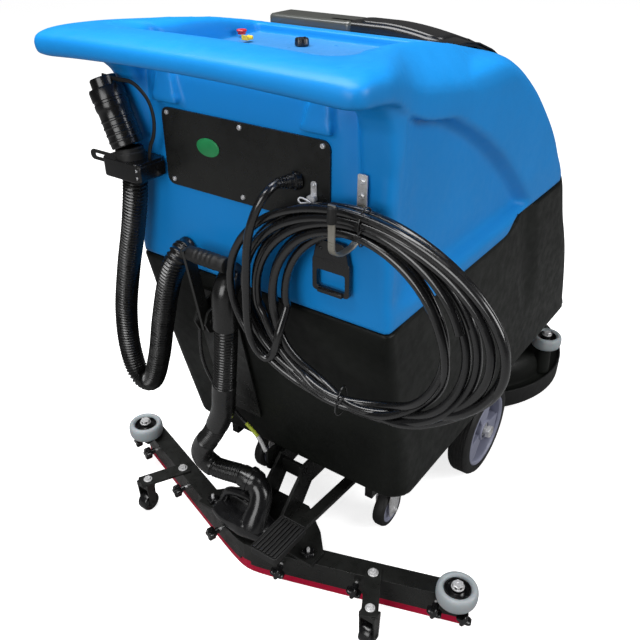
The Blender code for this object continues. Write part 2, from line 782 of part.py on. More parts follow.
def main_wheels():
    rod_profile = ((0, -0.240), (AXLE_RADIUS, -0.240), (AXLE_RADIUS, 0.240), (0, 0.240))
    axle = turned(rod_profile, (0, 0, WHEEL_RADIUS), (1, 0, 0), 16)
    for side in (-1, 1):
        nut_from = side * (WHEEL_OUT - 0.001 + 0.0025)
        union(axle, rod((nut_from, 0, WHEEL_RADIUS), (side * 0.246, 0, WHEEL_RADIUS), 0.014, 6))
    node("axle", axle, "zinc", (0, 0, WHEEL_RADIUS))
    width = WHEEL_OUT - WHEEL_IN
    tread = ((TYRE_INNER, 0.002), (0.094, 0), (WHEEL_RADIUS, 0.006), (WHEEL_RADIUS, width - 0.006))
    tread += ((0.094, width), (TYRE_INNER, width - 0.002))
    disc = ((0.0095, 0.004), (0.026, 0.004), (0.026, 0.016), (0.070, 0.016), (0.070, 0.003))
    disc += ((TYRE_INNER - FIT, 0.003), (TYRE_INNER - FIT, width - 0.003), (0.070, width - 0.003))
    disc += ((0.070, width - 0.014), (0.026, width - 0.014), (0.026, width - 0.002), (0.0095, width - 0.002))
    for side, letter in ((1, "R"), (-1, "L")):
        centre = (side * WHEEL_IN, 0, WHEEL_RADIUS)
        along = (side, 0, 0)
        node("tyre_" + letter, turned(tread, centre, along, 28), "rubber", centre, True)
        node("wheel_hub_" + letter, turned(disc, centre, along, 20), "hub_grey", centre, True)


def casters():
    wheel_y = CASTER_SWIVEL_Y - CASTER_TRAIL
    half = CASTER_WIDTH / 2
    tread = ((0.0046, -half), (0.034, -half), (CASTER_RADIUS, -half + 0.005))
    tread += ((CASTER_RADIUS, half - 0.005), (0.034, half), (0.0046, half))
    for side, letter in ((1, "R"), (-1, "L")):
        x = side * CASTER_X
        hub = (x, wheel_y, CASTER_RADIUS)
        fork = turned(((0, 0.0945), (0.024, 0.0945), (0.024, 0.1035), (0, 0.1035)),
                      (x, CASTER_SWIVEL_Y, 0), steps=20)
        cheek = [
            (CASTER_SWIVEL_Y + 0.018, 0.098),
            (CASTER_SWIVEL_Y - 0.022, 0.098),
            (wheel_y - 0.012, 0.046),
            (wheel_y - 0.008, 0.030),
            (wheel_y + 0.010, 0.030),
        ]
        for low in (x - 0.0165, x + 0.0135):
            union(fork, prism(cheek, "x", low, low + 0.003))
        crown = box((x - 0.0165, x + 0.0165), (CASTER_SWIVEL_Y - 0.022, CASTER_SWIVEL_Y + 0.018), (0.0925, 0.098))
        union(fork, crown)
        union(fork, rod((x - 0.019, wheel_y, CASTER_RADIUS), (x + 0.019, wheel_y, CASTER_RADIUS), 0.004))
        node("caster_fork_" + letter, fork, "zinc", (x, CASTER_SWIVEL_Y, 0.1035))
        wheel = turned(tread, hub, (1, 0, 0), 20)
        node("caster_wheel_" + letter, wheel, "rubber", hub, True)


# ---------------------------------------------------------------- brush deck and pedal


ROLLER_PROFILE = (
    (0.0056, 0),
    (0.018, 0),
    (ROLLER_RADIUS - 0.002, 0.003),
    (ROLLER_RADIUS, 0.009),
    (ROLLER_RADIUS, ROLLER_HEIGHT - 0.009),
    (ROLLER_RADIUS - 0.002, ROLLER_HEIGHT - 0.003),
    (0.018, ROLLER_HEIGHT),
    (0.0056, ROLLER_HEIGHT),
)


def roller_post(x, y, low, roller_low):
    """The boss, the bolt shank through a roller and the bolt head over it."""
    top = roller_low + ROLLER_HEIGHT + FIT
    profile = ((0, low), (0.014, low), (0.014, roller_low - FIT), (0.005, roller_low - FIT))
    profile += ((0.005, top), (0.009, top), (0.009, top + 0.005), (0, top + 0.005))
    return turned(profile, (x, y, 0), steps=12)


def brush_deck():
    profile = ((0, 0.112), (DECK_RADIUS - 0.006, 0.112), (DECK_RADIUS - 0.006, 0.046))
    profile += ((0.248, 0.046), (0.248, 0.051), (DECK_RADIUS, 0.051), (DECK_RADIUS, DECK_TOP - 0.008))
    profile += ((DECK_RADIUS - 0.008, DECK_TOP), (0, DECK_TOP))
    deck = turned(profile, (0, DECK_Y, 0), steps=32)
    for side in (-1, 1):
        def span(low, high):
            return sorted((side * low, side * high))

        union(deck, box(span(0.170, 0.243), (BUMPER_Y - 0.022, BUMPER_Y + 0.022), (0.104, 0.122)))
        union(deck, roller_post(side * BUMPER_X, BUMPER_Y, 0.110, BUMPER_Z))
        lug = [(0.180, 0.114), (0.186, 0.162), (0.214, 0.162), (0.226, 0.114)]
        union(deck, prism(lug, "x", *span(0.110, 0.116)))
        union(deck, rod((side * 0.113, DECK_ARM_FRONT_Y, DECK_ARM_Z),
                        (side * 0.1265, DECK_ARM_FRONT_Y, DECK_ARM_Z), 0.004))
    pivot = (0, DECK_ARM_FRONT_Y, DECK_ARM_Z)
    node("deck_housing", deck, "black_tank", pivot)

    band = ((0.249, 0.012), (SKIRT_RADIUS, 0.012), (SKIRT_RADIUS, 0.056), (0.252, 0.058), (0.249, 0.056))
    node("deck_skirt", turned(band, (0, DECK_Y, 0), steps=32), "rubber", pivot, True)

    motor = ((0, 0.119), (0.060, 0.119), (0.060, 0.150), (0.052, 0.155), (0.052, 0.265))
    motor += ((0.044, 0.275), (0, 0.275))
    node("brush_motor", turned(motor, (0, DECK_Y, 0)), "copper_motor", pivot, True)

    hub = (0, DECK_Y, 0.060)
    driver = ((0, 0.0450), (0.200, 0.0450), (0.200, 0.057), (0.034, 0.060), (0.034, 0.108), (0, 0.108))
    node("brush_driver", turned(driver, (0, DECK_Y, 0), steps=24), "steel_black", hub, True)
    bristles = ((0.090, 0.003), (BRUSH_RADIUS, 0.003), (BRUSH_RADIUS - 0.006, 0.0445), (0.096, 0.0445))
    node("brush", turned(bristles, (0, DECK_Y, 0), steps=24), "bristle", hub, True)

    for side, letter in ((1, "R"), (-1, "L")):
        at = (side * BUMPER_X, BUMPER_Y, BUMPER_Z)
        node("bumper_roller_" + letter, turned(ROLLER_PROFILE, at, steps=18), "grey_roller", at, True)

    arms = box((-0.119, 0.119), (0.125, 0.140), (0.144, 0.156))
    for side in (-1, 1):
        low, high = sorted((side * 0.1185, side * 0.1245))
        reach = DECK_ARM_FRONT_Y - DECK_ARM_REAR_Y + 0.024
        middle = ((DECK_ARM_FRONT_Y + DECK_ARM_REAR_Y) / 2, DECK_ARM_Z)
        bar = prism(rounded(middle, reach, 0.020, 0.009, 3), "x", low, high)
        union(arms, bar)
        for y in (DECK_ARM_REAR_Y, DECK_ARM_FRONT_Y):
            cut(arms, rod((side * 0.100, y, DECK_ARM_Z), (side * 0.150, y, DECK_ARM_Z), 0.0046))
    node("deck_arm", arms, "steel_black", (0, DECK_ARM_REAR_Y, DECK_ARM_Z))


def pedal():
    pivot = (PEDAL_X, PEDAL_PIVOT_Y, PEDAL_PIVOT_Z)
    low, high = PEDAL_X - 0.010, PEDAL_X + 0.010
    under = [(-0.170, 0.124), (-0.300, 0.114), (-0.455, 0.126), (-0.540, 0.127)]
    over = [(-0.540, 0.1345), (-0.455, 0.1345), (-0.300, 0.123), (-0.170, 0.136)]
    bar = prism(under + over, "x", low, high)
    boss = rod((low, PEDAL_PIVOT_Y, PEDAL_PIVOT_Z), (high, PEDAL_PIVOT_Y, PEDAL_PIVOT_Z), 0.011, 16)
    bore = rod((0.05, PEDAL_PIVOT_Y, PEDAL_PIVOT_Z), (0.14, PEDAL_PIVOT_Y, PEDAL_PIVOT_Z), 0.0046, 12)
    node("pedal_lever", cut(union(bar, boss), bore), "steel_black", pivot)
    pad = prism(rounded((0.088, -0.517), 0.054, 0.088, 0.006, 2), "z", 0.1350, 0.1480)
    node("pedal_pad", pad, "rubber", pivot)


# ---------------------------------------------------------------- squeegee


def v_line(x):
    """The line that the rear blade draws on the floor."""
    return V_APEX_Y - V_ROUNDING + math.hypot(V_ROUNDING, V_SLOPE * x)


def v_strip(ahead_from, ahead_to, low, high, half=V_HALF_WIDTH):
    """A strip that follows the V, between two distances ahead of the rear blade."""
    stops = [half * s for s in (-1, -0.5, -0.2, -0.12, -0.07, -0.035, 0, 0.035, 0.07, 0.12, 0.2, 0.5, 1)]
    path = [(x, v_line(x), 0) for x in stops]
    section = [(-ahead_to, low), (-ahead_from, low), (-ahead_from, high), (-ahead_to, high)]
    return swept(path, section, up=(0, 0, 1))


def squeegee():
    pivot = (0, ARM_PIVOT_Y, ARM_PIVOT_Z)
    bar = v_strip(-0.006, 0.029, BAR_LOW, BAR_TOP)
    for side in (-1, 1):
        low, high = sorted((side * (SIDE_ROLLER_X - 0.016), side * (SIDE_ROLLER_X + 0.014)))
        union(bar, box((low, high), (SIDE_ROLLER_Y - 0.014, SIDE_ROLLER_Y + 0.030), (0.060, 0.070)))
        union(bar, roller_post(side * SIDE_ROLLER_X, SIDE_ROLLER_Y, 0.062, 0.0745))
        at = (side * SIDE_ROLLER_X, SIDE_ROLLER_Y, 0.0745)
        letter = "R" if side > 0 else "L"
        node("side_roller_" + letter, turned(ROLLER_PROFILE, at, steps=18), "grey_roller", at, True)
    node("squeegee_bar", bar, "steel_black", pivot)
    node("blade_rear", v_strip(-0.0015, 0.0015, 0.001, BAR_LOW - FIT), "red", pivot)
    node("blade_front", v_strip(0.0240, 0.0270, 0.001, BAR_LOW - FIT, 0.372), "red", pivot)

    carrier = [(-0.135, -0.484), (-0.135, -0.448), (-0.100, -0.412), (-0.050, -0.374), (0.045, -0.372)]
    carrier += [(0.100, -0.412), (0.132, -0.448), (0.132, -0.484)]
    arm = prism(carrier, "z", BAR_TOP + 0.002, BAR_TOP + 0.007)
    for side in (-1, 1):
        low, high = sorted((side * 0.026, side * 0.032))
        cheek = [(-0.226, 0.164), (-0.226, 0.136), (-0.340, 0.118), (-0.378, 0.072), (-0.440, 0.072)]
        cheek += [(-0.440, 0.090), (-0.402, 0.128), (-0.360, 0.164)]
        union(arm, prism(cheek, "x", low, high))
    union(arm, box((-0.030, 0.030), (-0.360, -0.352), (0.120, 0.150)))
    cut(arm, rod((-0.050, ARM_PIVOT_Y, ARM_PIVOT_Z), (0.050, ARM_PIVOT_Y, ARM_PIVOT_Z), 0.0056))
    node("squeegee_arm", arm, "steel_black", pivot)

    hood = [(-0.100, -0.505), (-0.100, -0.470), (-0.060, -0.443), (0.040, -0.443), (0.050, -0.505), (0.010, -0.530)]
    hood += [(-0.060, -0.525)]
    body = prism(hood, "z", BAR_TOP + 0.008, 0.128)
    inlet = hose(
        (
            (-0.146, -0.462, 0.198),
            (-0.155, -0.461, 0.165),
            (-0.142, -0.462, 0.136),
            (-0.105, -0.464, 0.130),
            (-0.060, -0.470, 0.134),
            (-0.020, -0.478, 0.122),
            (0.004, -0.490, 0.104),
        )
    )
    node("nozzle", union(body, inlet), "gloss_black", pivot)

    for side, letter in ((1, "R"), (-1, "L")):
        inner = Vector((side * SUPPORT_INNER[0], SUPPORT_INNER[1], 0))
        outer = Vector((side * SUPPORT_OUTER[0], SUPPORT_OUTER[1], 0))
        along = (outer - inner).normalized()
        flat = [(-0.014, 0.0685), (0.014, 0.0685), (0.014, 0.0735), (-0.014, 0.0735)]
        plate = swept([inner - 0.012 * along, outer + 0.016 * along], flat, up=(0, 0, 1))
        x, y = side * SUPPORT_WHEEL[0], SUPPORT_WHEEL[1]
        for low in (x - 0.0150, x + 0.0120):
            fork = [(y - 0.010, 0.071), (y - 0.007, 0.012), (y + 0.007, 0.012), (y + 0.010, 0.071)]
            union(plate, prism(fork, "x", low, low + 0.003))
        union(plate, box((x - 0.015, x + 0.015), (y - 0.010, y + 0.010), (0.060, 0.070)))
        union(plate, rod((x - 0.017, y, 0.0205), (x + 0.017, y, 0.0205), 0.003, 8))
        node("support_bracket_" + letter, plate, "steel_black", pivot)
        hub = (x, y, 0.0205)
        wheel = ((0.0035, -0.0105), (SUPPORT_RADIUS, -0.0105), (SUPPORT_RADIUS, 0.0105), (0.0035, 0.0105))
        node("support_wheel_" + letter, turned(wheel, hub, (1, 0, 0), 20), "rubber", hub, True)
        at = (side * MOUNT_KNOB_X, MOUNT_KNOB_Y, BAR_TOP + 0.0076)
        nut = turned(((0, 0), (0.012, 0), (0.012, 0.0055), (0.006, 0.008), (0, 0.008)), at, steps=12)
        node("mount_knob_" + letter, nut, "gloss_black", at, True)


def build():
    clear_scene()
    chassis()
    main_wheels()
    casters()
    solution_tank()
    recovery_tank()
    lid()
    inside_the_tanks()
    rear_face()
    console()
    cord()
    hoses()
    lift_lever()
    brush_deck()
    pedal()
    squeegee()


build()
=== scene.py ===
"""Looks for a walk-behind floor scrubber-dryer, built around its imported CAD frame.

Every piece is drawn in the same coordinates as the CAD source: metres, +X the machine's right,
+Y the travel direction, +Z up, and y = 0 at the axle of the main wheels. piece() then slides
it by SHIFT into the frame's own coordinates, where y = 0 is the middle of the machine.
"""

import json
import math
import random

import bmesh
import bpy
from mathutils import Matrix, Vector


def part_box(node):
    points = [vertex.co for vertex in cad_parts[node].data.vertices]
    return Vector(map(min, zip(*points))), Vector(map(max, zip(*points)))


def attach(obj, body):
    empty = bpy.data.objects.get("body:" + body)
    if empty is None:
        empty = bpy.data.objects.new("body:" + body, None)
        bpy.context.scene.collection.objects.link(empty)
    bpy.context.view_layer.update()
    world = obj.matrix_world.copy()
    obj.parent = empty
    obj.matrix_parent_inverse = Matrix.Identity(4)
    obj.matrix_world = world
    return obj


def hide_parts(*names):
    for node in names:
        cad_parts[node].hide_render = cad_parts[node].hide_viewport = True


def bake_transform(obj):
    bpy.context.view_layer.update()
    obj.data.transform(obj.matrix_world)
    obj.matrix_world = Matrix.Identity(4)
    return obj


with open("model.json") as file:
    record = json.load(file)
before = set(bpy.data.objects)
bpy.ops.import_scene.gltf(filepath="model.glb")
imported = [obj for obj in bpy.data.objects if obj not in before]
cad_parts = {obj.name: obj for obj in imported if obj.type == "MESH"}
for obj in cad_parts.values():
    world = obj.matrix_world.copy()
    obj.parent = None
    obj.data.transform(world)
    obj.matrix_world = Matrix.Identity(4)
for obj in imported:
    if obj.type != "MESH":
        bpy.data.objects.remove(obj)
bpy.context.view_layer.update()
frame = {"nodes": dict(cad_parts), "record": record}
AXLE_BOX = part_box("axle")
SHIFT = Vector((0, (AXLE_BOX[0].y + AXLE_BOX[1].y) / 2, 0))
SLOT_OF = {part["node"]: part["material_slot"] for part in frame["record"]["subparts"]}
RANDOM = random.Random(7)
RIGHT = (1, 0, 0)
BACK = (0, -1, 0)
UP = (0, 0, 1)
NEAR_ZERO = 0.0001

# ---- tanks: level, rear y, front y, half width, rear corner radius, front corner radius ----
LOWER_LEVELS = (
    (0.190, -0.375, 0.512, 0.238, 0.044, 0.130),
    (0.388, -0.415, 0.447, 0.240, 0.020, 0.148),
    (0.540, -0.446, 0.360, 0.240, 0.012, 0.162),
    (0.562, -0.451, 0.343, 0.240, 0.011, 0.163),
)
UPPER_LEVELS = (
    (0.563, -0.451, 0.343, 0.239, 0.014, 0.163),
    (0.640, -0.455, 0.294, 0.240, 0.018, 0.160),
    (0.695, -0.455, 0.238, 0.239, 0.020, 0.148),
    (0.777, -0.455, 0.110, 0.240, 0.022, 0.114),
    (0.820, -0.455, 0.040, 0.240, 0.024, 0.108),
    (0.854, -0.455, -0.030, 0.239, 0.026, 0.100),
    (0.872, -0.452, -0.085, 0.228, 0.030, 0.080),
    (0.880, -0.446, -0.130, 0.205, 0.030, 0.080),
)
LEVEL_STEP = 0.005
SEAM_STEP = 0.025
SEAM_STEP_FROM = -0.050
SEAM_STEP_TO = -0.005
BOTTOM_Z = 0.190
BOTTOM_STEP = 0.022
BOTTOM_STEP_TO = 0.110
VOXEL = 0.004

# ---- the curved hollow on each side of the blue tank, and its valley on the black one ----
ARC_CENTRE_Y = -0.682
ARC_CENTRE_Z = -0.146
ARC_RADIUS = 1.048
ARC_STEP_TOP = 0.018
ARC_STEP_SPREAD = 0.014
RECESS_DEPTH = 0.022
RECESS_REAR_Y = -0.470
RECESS_REAR_FADE = 0.120
RECESS_FLOOR_Z = 0.598
VALLEY_TOP = (0.030, 0.600)
VALLEY_FOOT = (0.110, 0.390)
VALLEY_HALF_WIDTH = 0.050
VALLEY_DEPTH = 0.010
VALLEY_FADE_Z = 0.330

# ---- the shallow upright flute at each side of the rear wall, under the handle's arm ----
COLUMN_X = 0.190
COLUMN_HALF = 0.032
COLUMN_DEPTH = 0.010

# ---- handle loop: its outer and inner edges in plan, and its height along each side ----
HANDLE_OUTER_X = 0.262
HANDLE_INNER_X = 0.172
HANDLE_REAR_Y = -0.575
HANDLE_INNER_Y = -0.480
HANDLE_OUTER_CORNER = 0.020
HANDLE_INNER_CORNER = 0.045
HANDLE_CROWN = 0.005
SHOULDER_OUTER_X = 0.2405
SHOULDER_INNER_X = 0.164
SHOULDER_TUCK = 0.060
# y along the side, height of the section's middle, height of the section
HANDLE_LEVELS = (
    (0.060, 0.768, 0.062), (-0.012, 0.811, 0.062), (-0.141, 0.851, 0.062), (-0.235, 0.872, 0.060),
    (-0.330, 0.889, 0.056), (-0.410, 0.902, 0.048), (-0.490, 0.9085, 0.040),
)

# ---- lid: the tank's top under it as (y, height), then its own sizes above that ----
LID_PROFILE = (
    (-0.190, 0.880), (-0.130, 0.880), (-0.085, 0.8725), (-0.030, 0.8545), (0.040, 0.8205), (0.096, 0.7875),
)
LID_HALF = 0.165
LID_LOW = 0.0065
LID_HIGH = 0.0280
LID_FRONT_HIGH = 0.0095
LID_FALL = 0.018
LID_FLAT_HALF = 0.050
LID_CORNER = 0.040

# ---- running gear ----
WHEEL_RADIUS = 0.100
WHEEL_IN = 0.192
WHEEL_OUT = 0.237
CASTER_X = 0.148
CASTER_Y = -0.255
CASTER_Z = 0.0395
CASTER_RADIUS = 0.0395
CASTER_HALF = 0.012
ROLLER_HEIGHT = 0.030
SIDE_ROLLER = (0.366, -0.400, 0.0745)
BUMPER_ROLLER = (0.228, 0.350, 0.128)
SUPPORT_WHEEL = (0.262, -0.502, 0.0205)
SUPPORT_RADIUS = 0.0195

# ---- brush deck ----
DECK_Y = 0.371
DECK_TOP = 0.118

# ---- squeegee ----
V_SLOPE = 0.34
V_APEX_Y = -0.504
V_ROUNDING = 0.008
HOOD_FOOT = 0.0765

# ---- power cord, its lead from the gland to the coil, and its hook ----
CORD_CENTRE = (0.205, -0.490, 0.597)
CORD_RADIUS = 0.0060
COIL_INNER = (0.115, 0.120)
COIL_BAND = (0.077, 0.034)
COIL_RANKS = (0, 4, 7, 2, 6, 1, 5, 3)
COIL_LAYER = 0.0062
LEAD = (
    (0.0800, -0.480, 0.757), (0.0790, -0.496, 0.752), (0.0740, -0.508, 0.740), (0.0650, -0.515, 0.716),
    (0.0560, -0.518, 0.681), (0.0500, -0.519, 0.618), (0.0490, -0.519, 0.551), (0.0550, -0.517, 0.522),
    (0.0650, -0.514, 0.505), (0.0770, -0.511, 0.500), (0.0860, -0.507, 0.515), (0.0920, -0.503, 0.545),
)
COIL_START = math.radians(190)
HOOK_X = 0.196

# ---- hoses ----
HOSE_RADIUS = 0.019
HOSE_PITCH = 0.0055
DRAIN_PATH = (
    (-0.193, -0.487, 0.757), (-0.190, -0.487, 0.740), (-0.190, -0.487, 0.700), (-0.207, -0.487, 0.630),
    (-0.234, -0.487, 0.547),
    (-0.257, -0.487, 0.460), (-0.263, -0.487, 0.385), (-0.250, -0.487, 0.330), (-0.216, -0.487, 0.328),
    (-0.188, -0.487, 0.390), (-0.166, -0.487, 0.470), (-0.140, -0.487, 0.550), (-0.124, -0.480, 0.590),
    (-0.122, -0.466, 0.600), (-0.122, -0.4565, 0.600),
)
CAP_AXIS = (-0.40, 0, 1)
CAP_BASE = (-0.194, -0.487, 0.7585)
SUCTION_PATH = (
    (-0.026, -0.4585, 0.583), (-0.026, -0.4660, 0.582), (-0.026, -0.4830, 0.560), (-0.028, -0.4840, 0.500),
    (-0.038, -0.4820, 0.425), (-0.049, -0.4780, 0.370), (-0.060, -0.4740, 0.320), (-0.088, -0.4720, 0.261),
    (-0.120, -0.4710, 0.210), (-0.128, -0.4660, 0.180), (-0.112, -0.4610, 0.162), (-0.085, -0.4580, 0.162),
    (-0.048, -0.4550, 0.168), (-0.022, -0.4525, 0.165),
)
SUCTION_RIBS = ((0.17, 0.38), (0.58, 0.68), (0.84, 0.96))

# ---- light, floor and camera ----
LAMPS = (
    # name, place, what it looks at, size, watts
    ("overhead", (-0.35, -0.75, 2.90), (0.0, -0.05, 0.60), 2.0, 95),
    ("right_side", (2.60, 0.30, 1.70), (0.0, 0.0, 0.50), 1.5, 38),
    ("rear_fill", (0.30, -2.80, 1.30), (0.0, 0.0, 0.50), 1.4, 26),
)
AMBIENT = 0.26
AMBIENT_MIRRORED = 0.06
FLOOR_GLOW = 0.75
FLOOR_BOUNCE = (0.24, 0.24, 0.24)
CAMERA_PLACE = (0.6465, -1.1830, 1.0881)
CAMERA_TURN = (59.18, 0.0, 35.40)
CAMERA_LENS = 41.09


# ======== materials ========


def new_look(name):
    """(material, tree, principled shader) with nothing but a shader on its output."""
    material = bpy.data.materials.new(name)
    material.use_nodes = True
    tree = material.node_tree
    tree.nodes.clear()
    shader = tree.nodes.new("ShaderNodeBsdfPrincipled")
    output = tree.nodes.new("ShaderNodeOutputMaterial")
    tree.links.new(shader.outputs["BSDF"], output.inputs["Surface"])
    return material, tree, shader


def noise_field(tree, scale, detail=4.0, stretch=(1, 1, 1)):
    """Noise over object space, with so many features per metre."""
    place = tree.nodes.new("ShaderNodeTexCoord")
    mapping = tree.nodes.new("ShaderNodeMapping")
    mapping.inputs["Scale"].default_value = stretch
    noise = tree.nodes.new("ShaderNodeTexNoise")
    noise.inputs["Scale"].default_value = scale
    noise.inputs["Detail"].default_value = detail
    tree.links.new(place.outputs["Object"], mapping.inputs["Vector"])
    tree.links.new(mapping.outputs["Vector"], noise.inputs["Vector"])
    return noise.outputs["Fac"]


def spread(tree, field, low, high, start=0.3, end=0.7):
    """The field's middle range stretched to low .. high."""
    scaler = tree.nodes.new("ShaderNodeMapRange")
    scaler.inputs["From Min"].default_value = start
    scaler.inputs["From Max"].default_value = end
    scaler.inputs["To Min"].default_value = low
    scaler.inputs["To Max"].default_value = high
    tree.links.new(field, scaler.inputs["Value"])
    return scaler.outputs["Result"]


def mixed(tree, factor, first, second):
    """A colour between first and second; each is a socket or an (r, g, b)."""
    mixer = tree.nodes.new("ShaderNodeMix")
    mixer.data_type = "RGBA"
    tree.links.new(factor, mixer.inputs["Factor"])
    for socket, colour in zip((mixer.inputs[6], mixer.inputs[7]), (first, second)):
        if isinstance(colour, tuple):
            socket.default_value = (*colour, 1)
        else:
            tree.links.new(colour, socket)
    return mixer.outputs[2]


def scaled(colour, factor):
    return tuple(channel * factor for channel in colour)


def rounded_normal(tree, radius):
    """The normal with sharp edges rounded to that radius."""
    bevel = tree.nodes.new("ShaderNodeBevel")
    bevel.samples = 4
    bevel.inputs["Radius"].default_value = radius
    return bevel.outputs["Normal"]


def edge_field(tree, radius):
    """Near 1 on sharp outer edges, where paint rubs through, and 0 on flat faces."""
    geometry = tree.nodes.new("ShaderNodeNewGeometry")
    dot = tree.nodes.new("ShaderNodeVectorMath")
    dot.operation = "DOT_PRODUCT"
    tree.links.new(rounded_normal(tree, radius), dot.inputs[0])
    tree.links.new(geometry.outputs["Normal"], dot.inputs[1])
    return spread(tree, dot.outputs["Value"], 1, 0, 0.8, 0.985)


def surface_look(name, colour, rough, metallic=0.0, coat=0.0, mottle=0.18, mottle_scale=9,
                 rough_range=0.1, grain=700, grain_depth=0.00012, swell=0.0, swell_scale=40,
                 round_edges=0.0, wear=0.0, wear_colour=(0.35, 0.35, 0.35), subsurface=0.0,
                 stretch=(1, 1, 1), specular=0.5):
    """A finished surface: mottled colour, uneven gloss, grain, rounded and rubbed edges."""
    material, tree, shader = new_look(name)
    blotch = noise_field(tree, mottle_scale, 5)
    base = mixed(tree, spread(tree, blotch, 0, 1), scaled(colour, 1 - mottle), scaled(colour, 1 + mottle))
    streaks = noise_field(tree, 60, 8, stretch)
    if wear:
        edges = edge_field(tree, 0.0015)
        rubbed = tree.nodes.new("ShaderNodeMath")
        rubbed.operation = "MULTIPLY"
        tree.links.new(edges, rubbed.inputs[0])
        tree.links.new(spread(tree, streaks, 0, wear, 0.45, 0.65), rubbed.inputs[1])
        base = mixed(tree, rubbed.outputs[0], base, wear_colour)
    tree.links.new(base, shader.inputs["Base Color"])
    tree.links.new(spread(tree, streaks, rough - rough_range, rough + rough_range),
                   shader.inputs["Roughness"])
    shader.inputs["Metallic"].default_value = metallic
    shader.inputs["Coat Weight"].default_value = coat
    shader.inputs["Coat Roughness"].default_value = 0.12
    shader.inputs["Specular IOR Level"].default_value = specular
    shader.inputs["Subsurface Weight"].default_value = subsurface
    shader.inputs["Subsurface Scale"].default_value = 0.004
    normal = rounded_normal(tree, round_edges) if round_edges else None
    bumps = [(noise_field(tree, grain, 3, stretch), grain_depth)]
    if swell:
        bumps.insert(0, (noise_field(tree, swell_scale, 2), swell))
    for field, depth in bumps:
        bump = tree.nodes.new("ShaderNodeBump")
        bump.inputs["Distance"].default_value = depth
        tree.links.new(field, bump.inputs["Height"])
        if normal:
            tree.links.new(normal, bump.inputs["Normal"])
        normal = bump.outputs["Normal"]
    tree.links.new(normal, shader.inputs["Normal"])
    return material


def zinc_look(name, colour, rough):
    """Bright zinc plate: spangles of slightly different grey, fine brushing, dull edges."""
    material, tree, shader = new_look(name)
    place = tree.nodes.new("ShaderNodeTexCoord")
    cells = tree.nodes.new("ShaderNodeTexVoronoi")
    cells.inputs["Scale"].default_value = 320
    tree.links.new(place.outputs["Object"], cells.inputs["Vector"])
    tone = tree.nodes.new("ShaderNodeSeparateColor")
    tree.links.new(cells.outputs["Color"], tone.inputs["Color"])
    base = mixed(tree, tone.outputs["Red"], scaled(colour, 0.86), scaled(colour, 1.06))
    dirt = spread(tree, noise_field(tree, 55, 6), 0, 0.55, 0.5, 0.75)
    tree.links.new(mixed(tree, dirt, base, (0.16, 0.15, 0.13)), shader.inputs["Base Color"])
    brushing = noise_field(tree, 420, 3, (1, 1, 8))
    tree.links.new(spread(tree, brushing, rough - 0.08, rough + 0.14), shader.inputs["Roughness"])
    shader.inputs["Metallic"].default_value = 0.35
    bump = tree.nodes.new("ShaderNodeBump")
    bump.inputs["Distance"].default_value = 0.00005
    tree.links.new(brushing, bump.inputs["Height"])
    tree.links.new(rounded_normal(tree, 0.0006), bump.inputs["Normal"])
    tree.links.new(bump.outputs["Normal"], shader.inputs["Normal"])
    return material


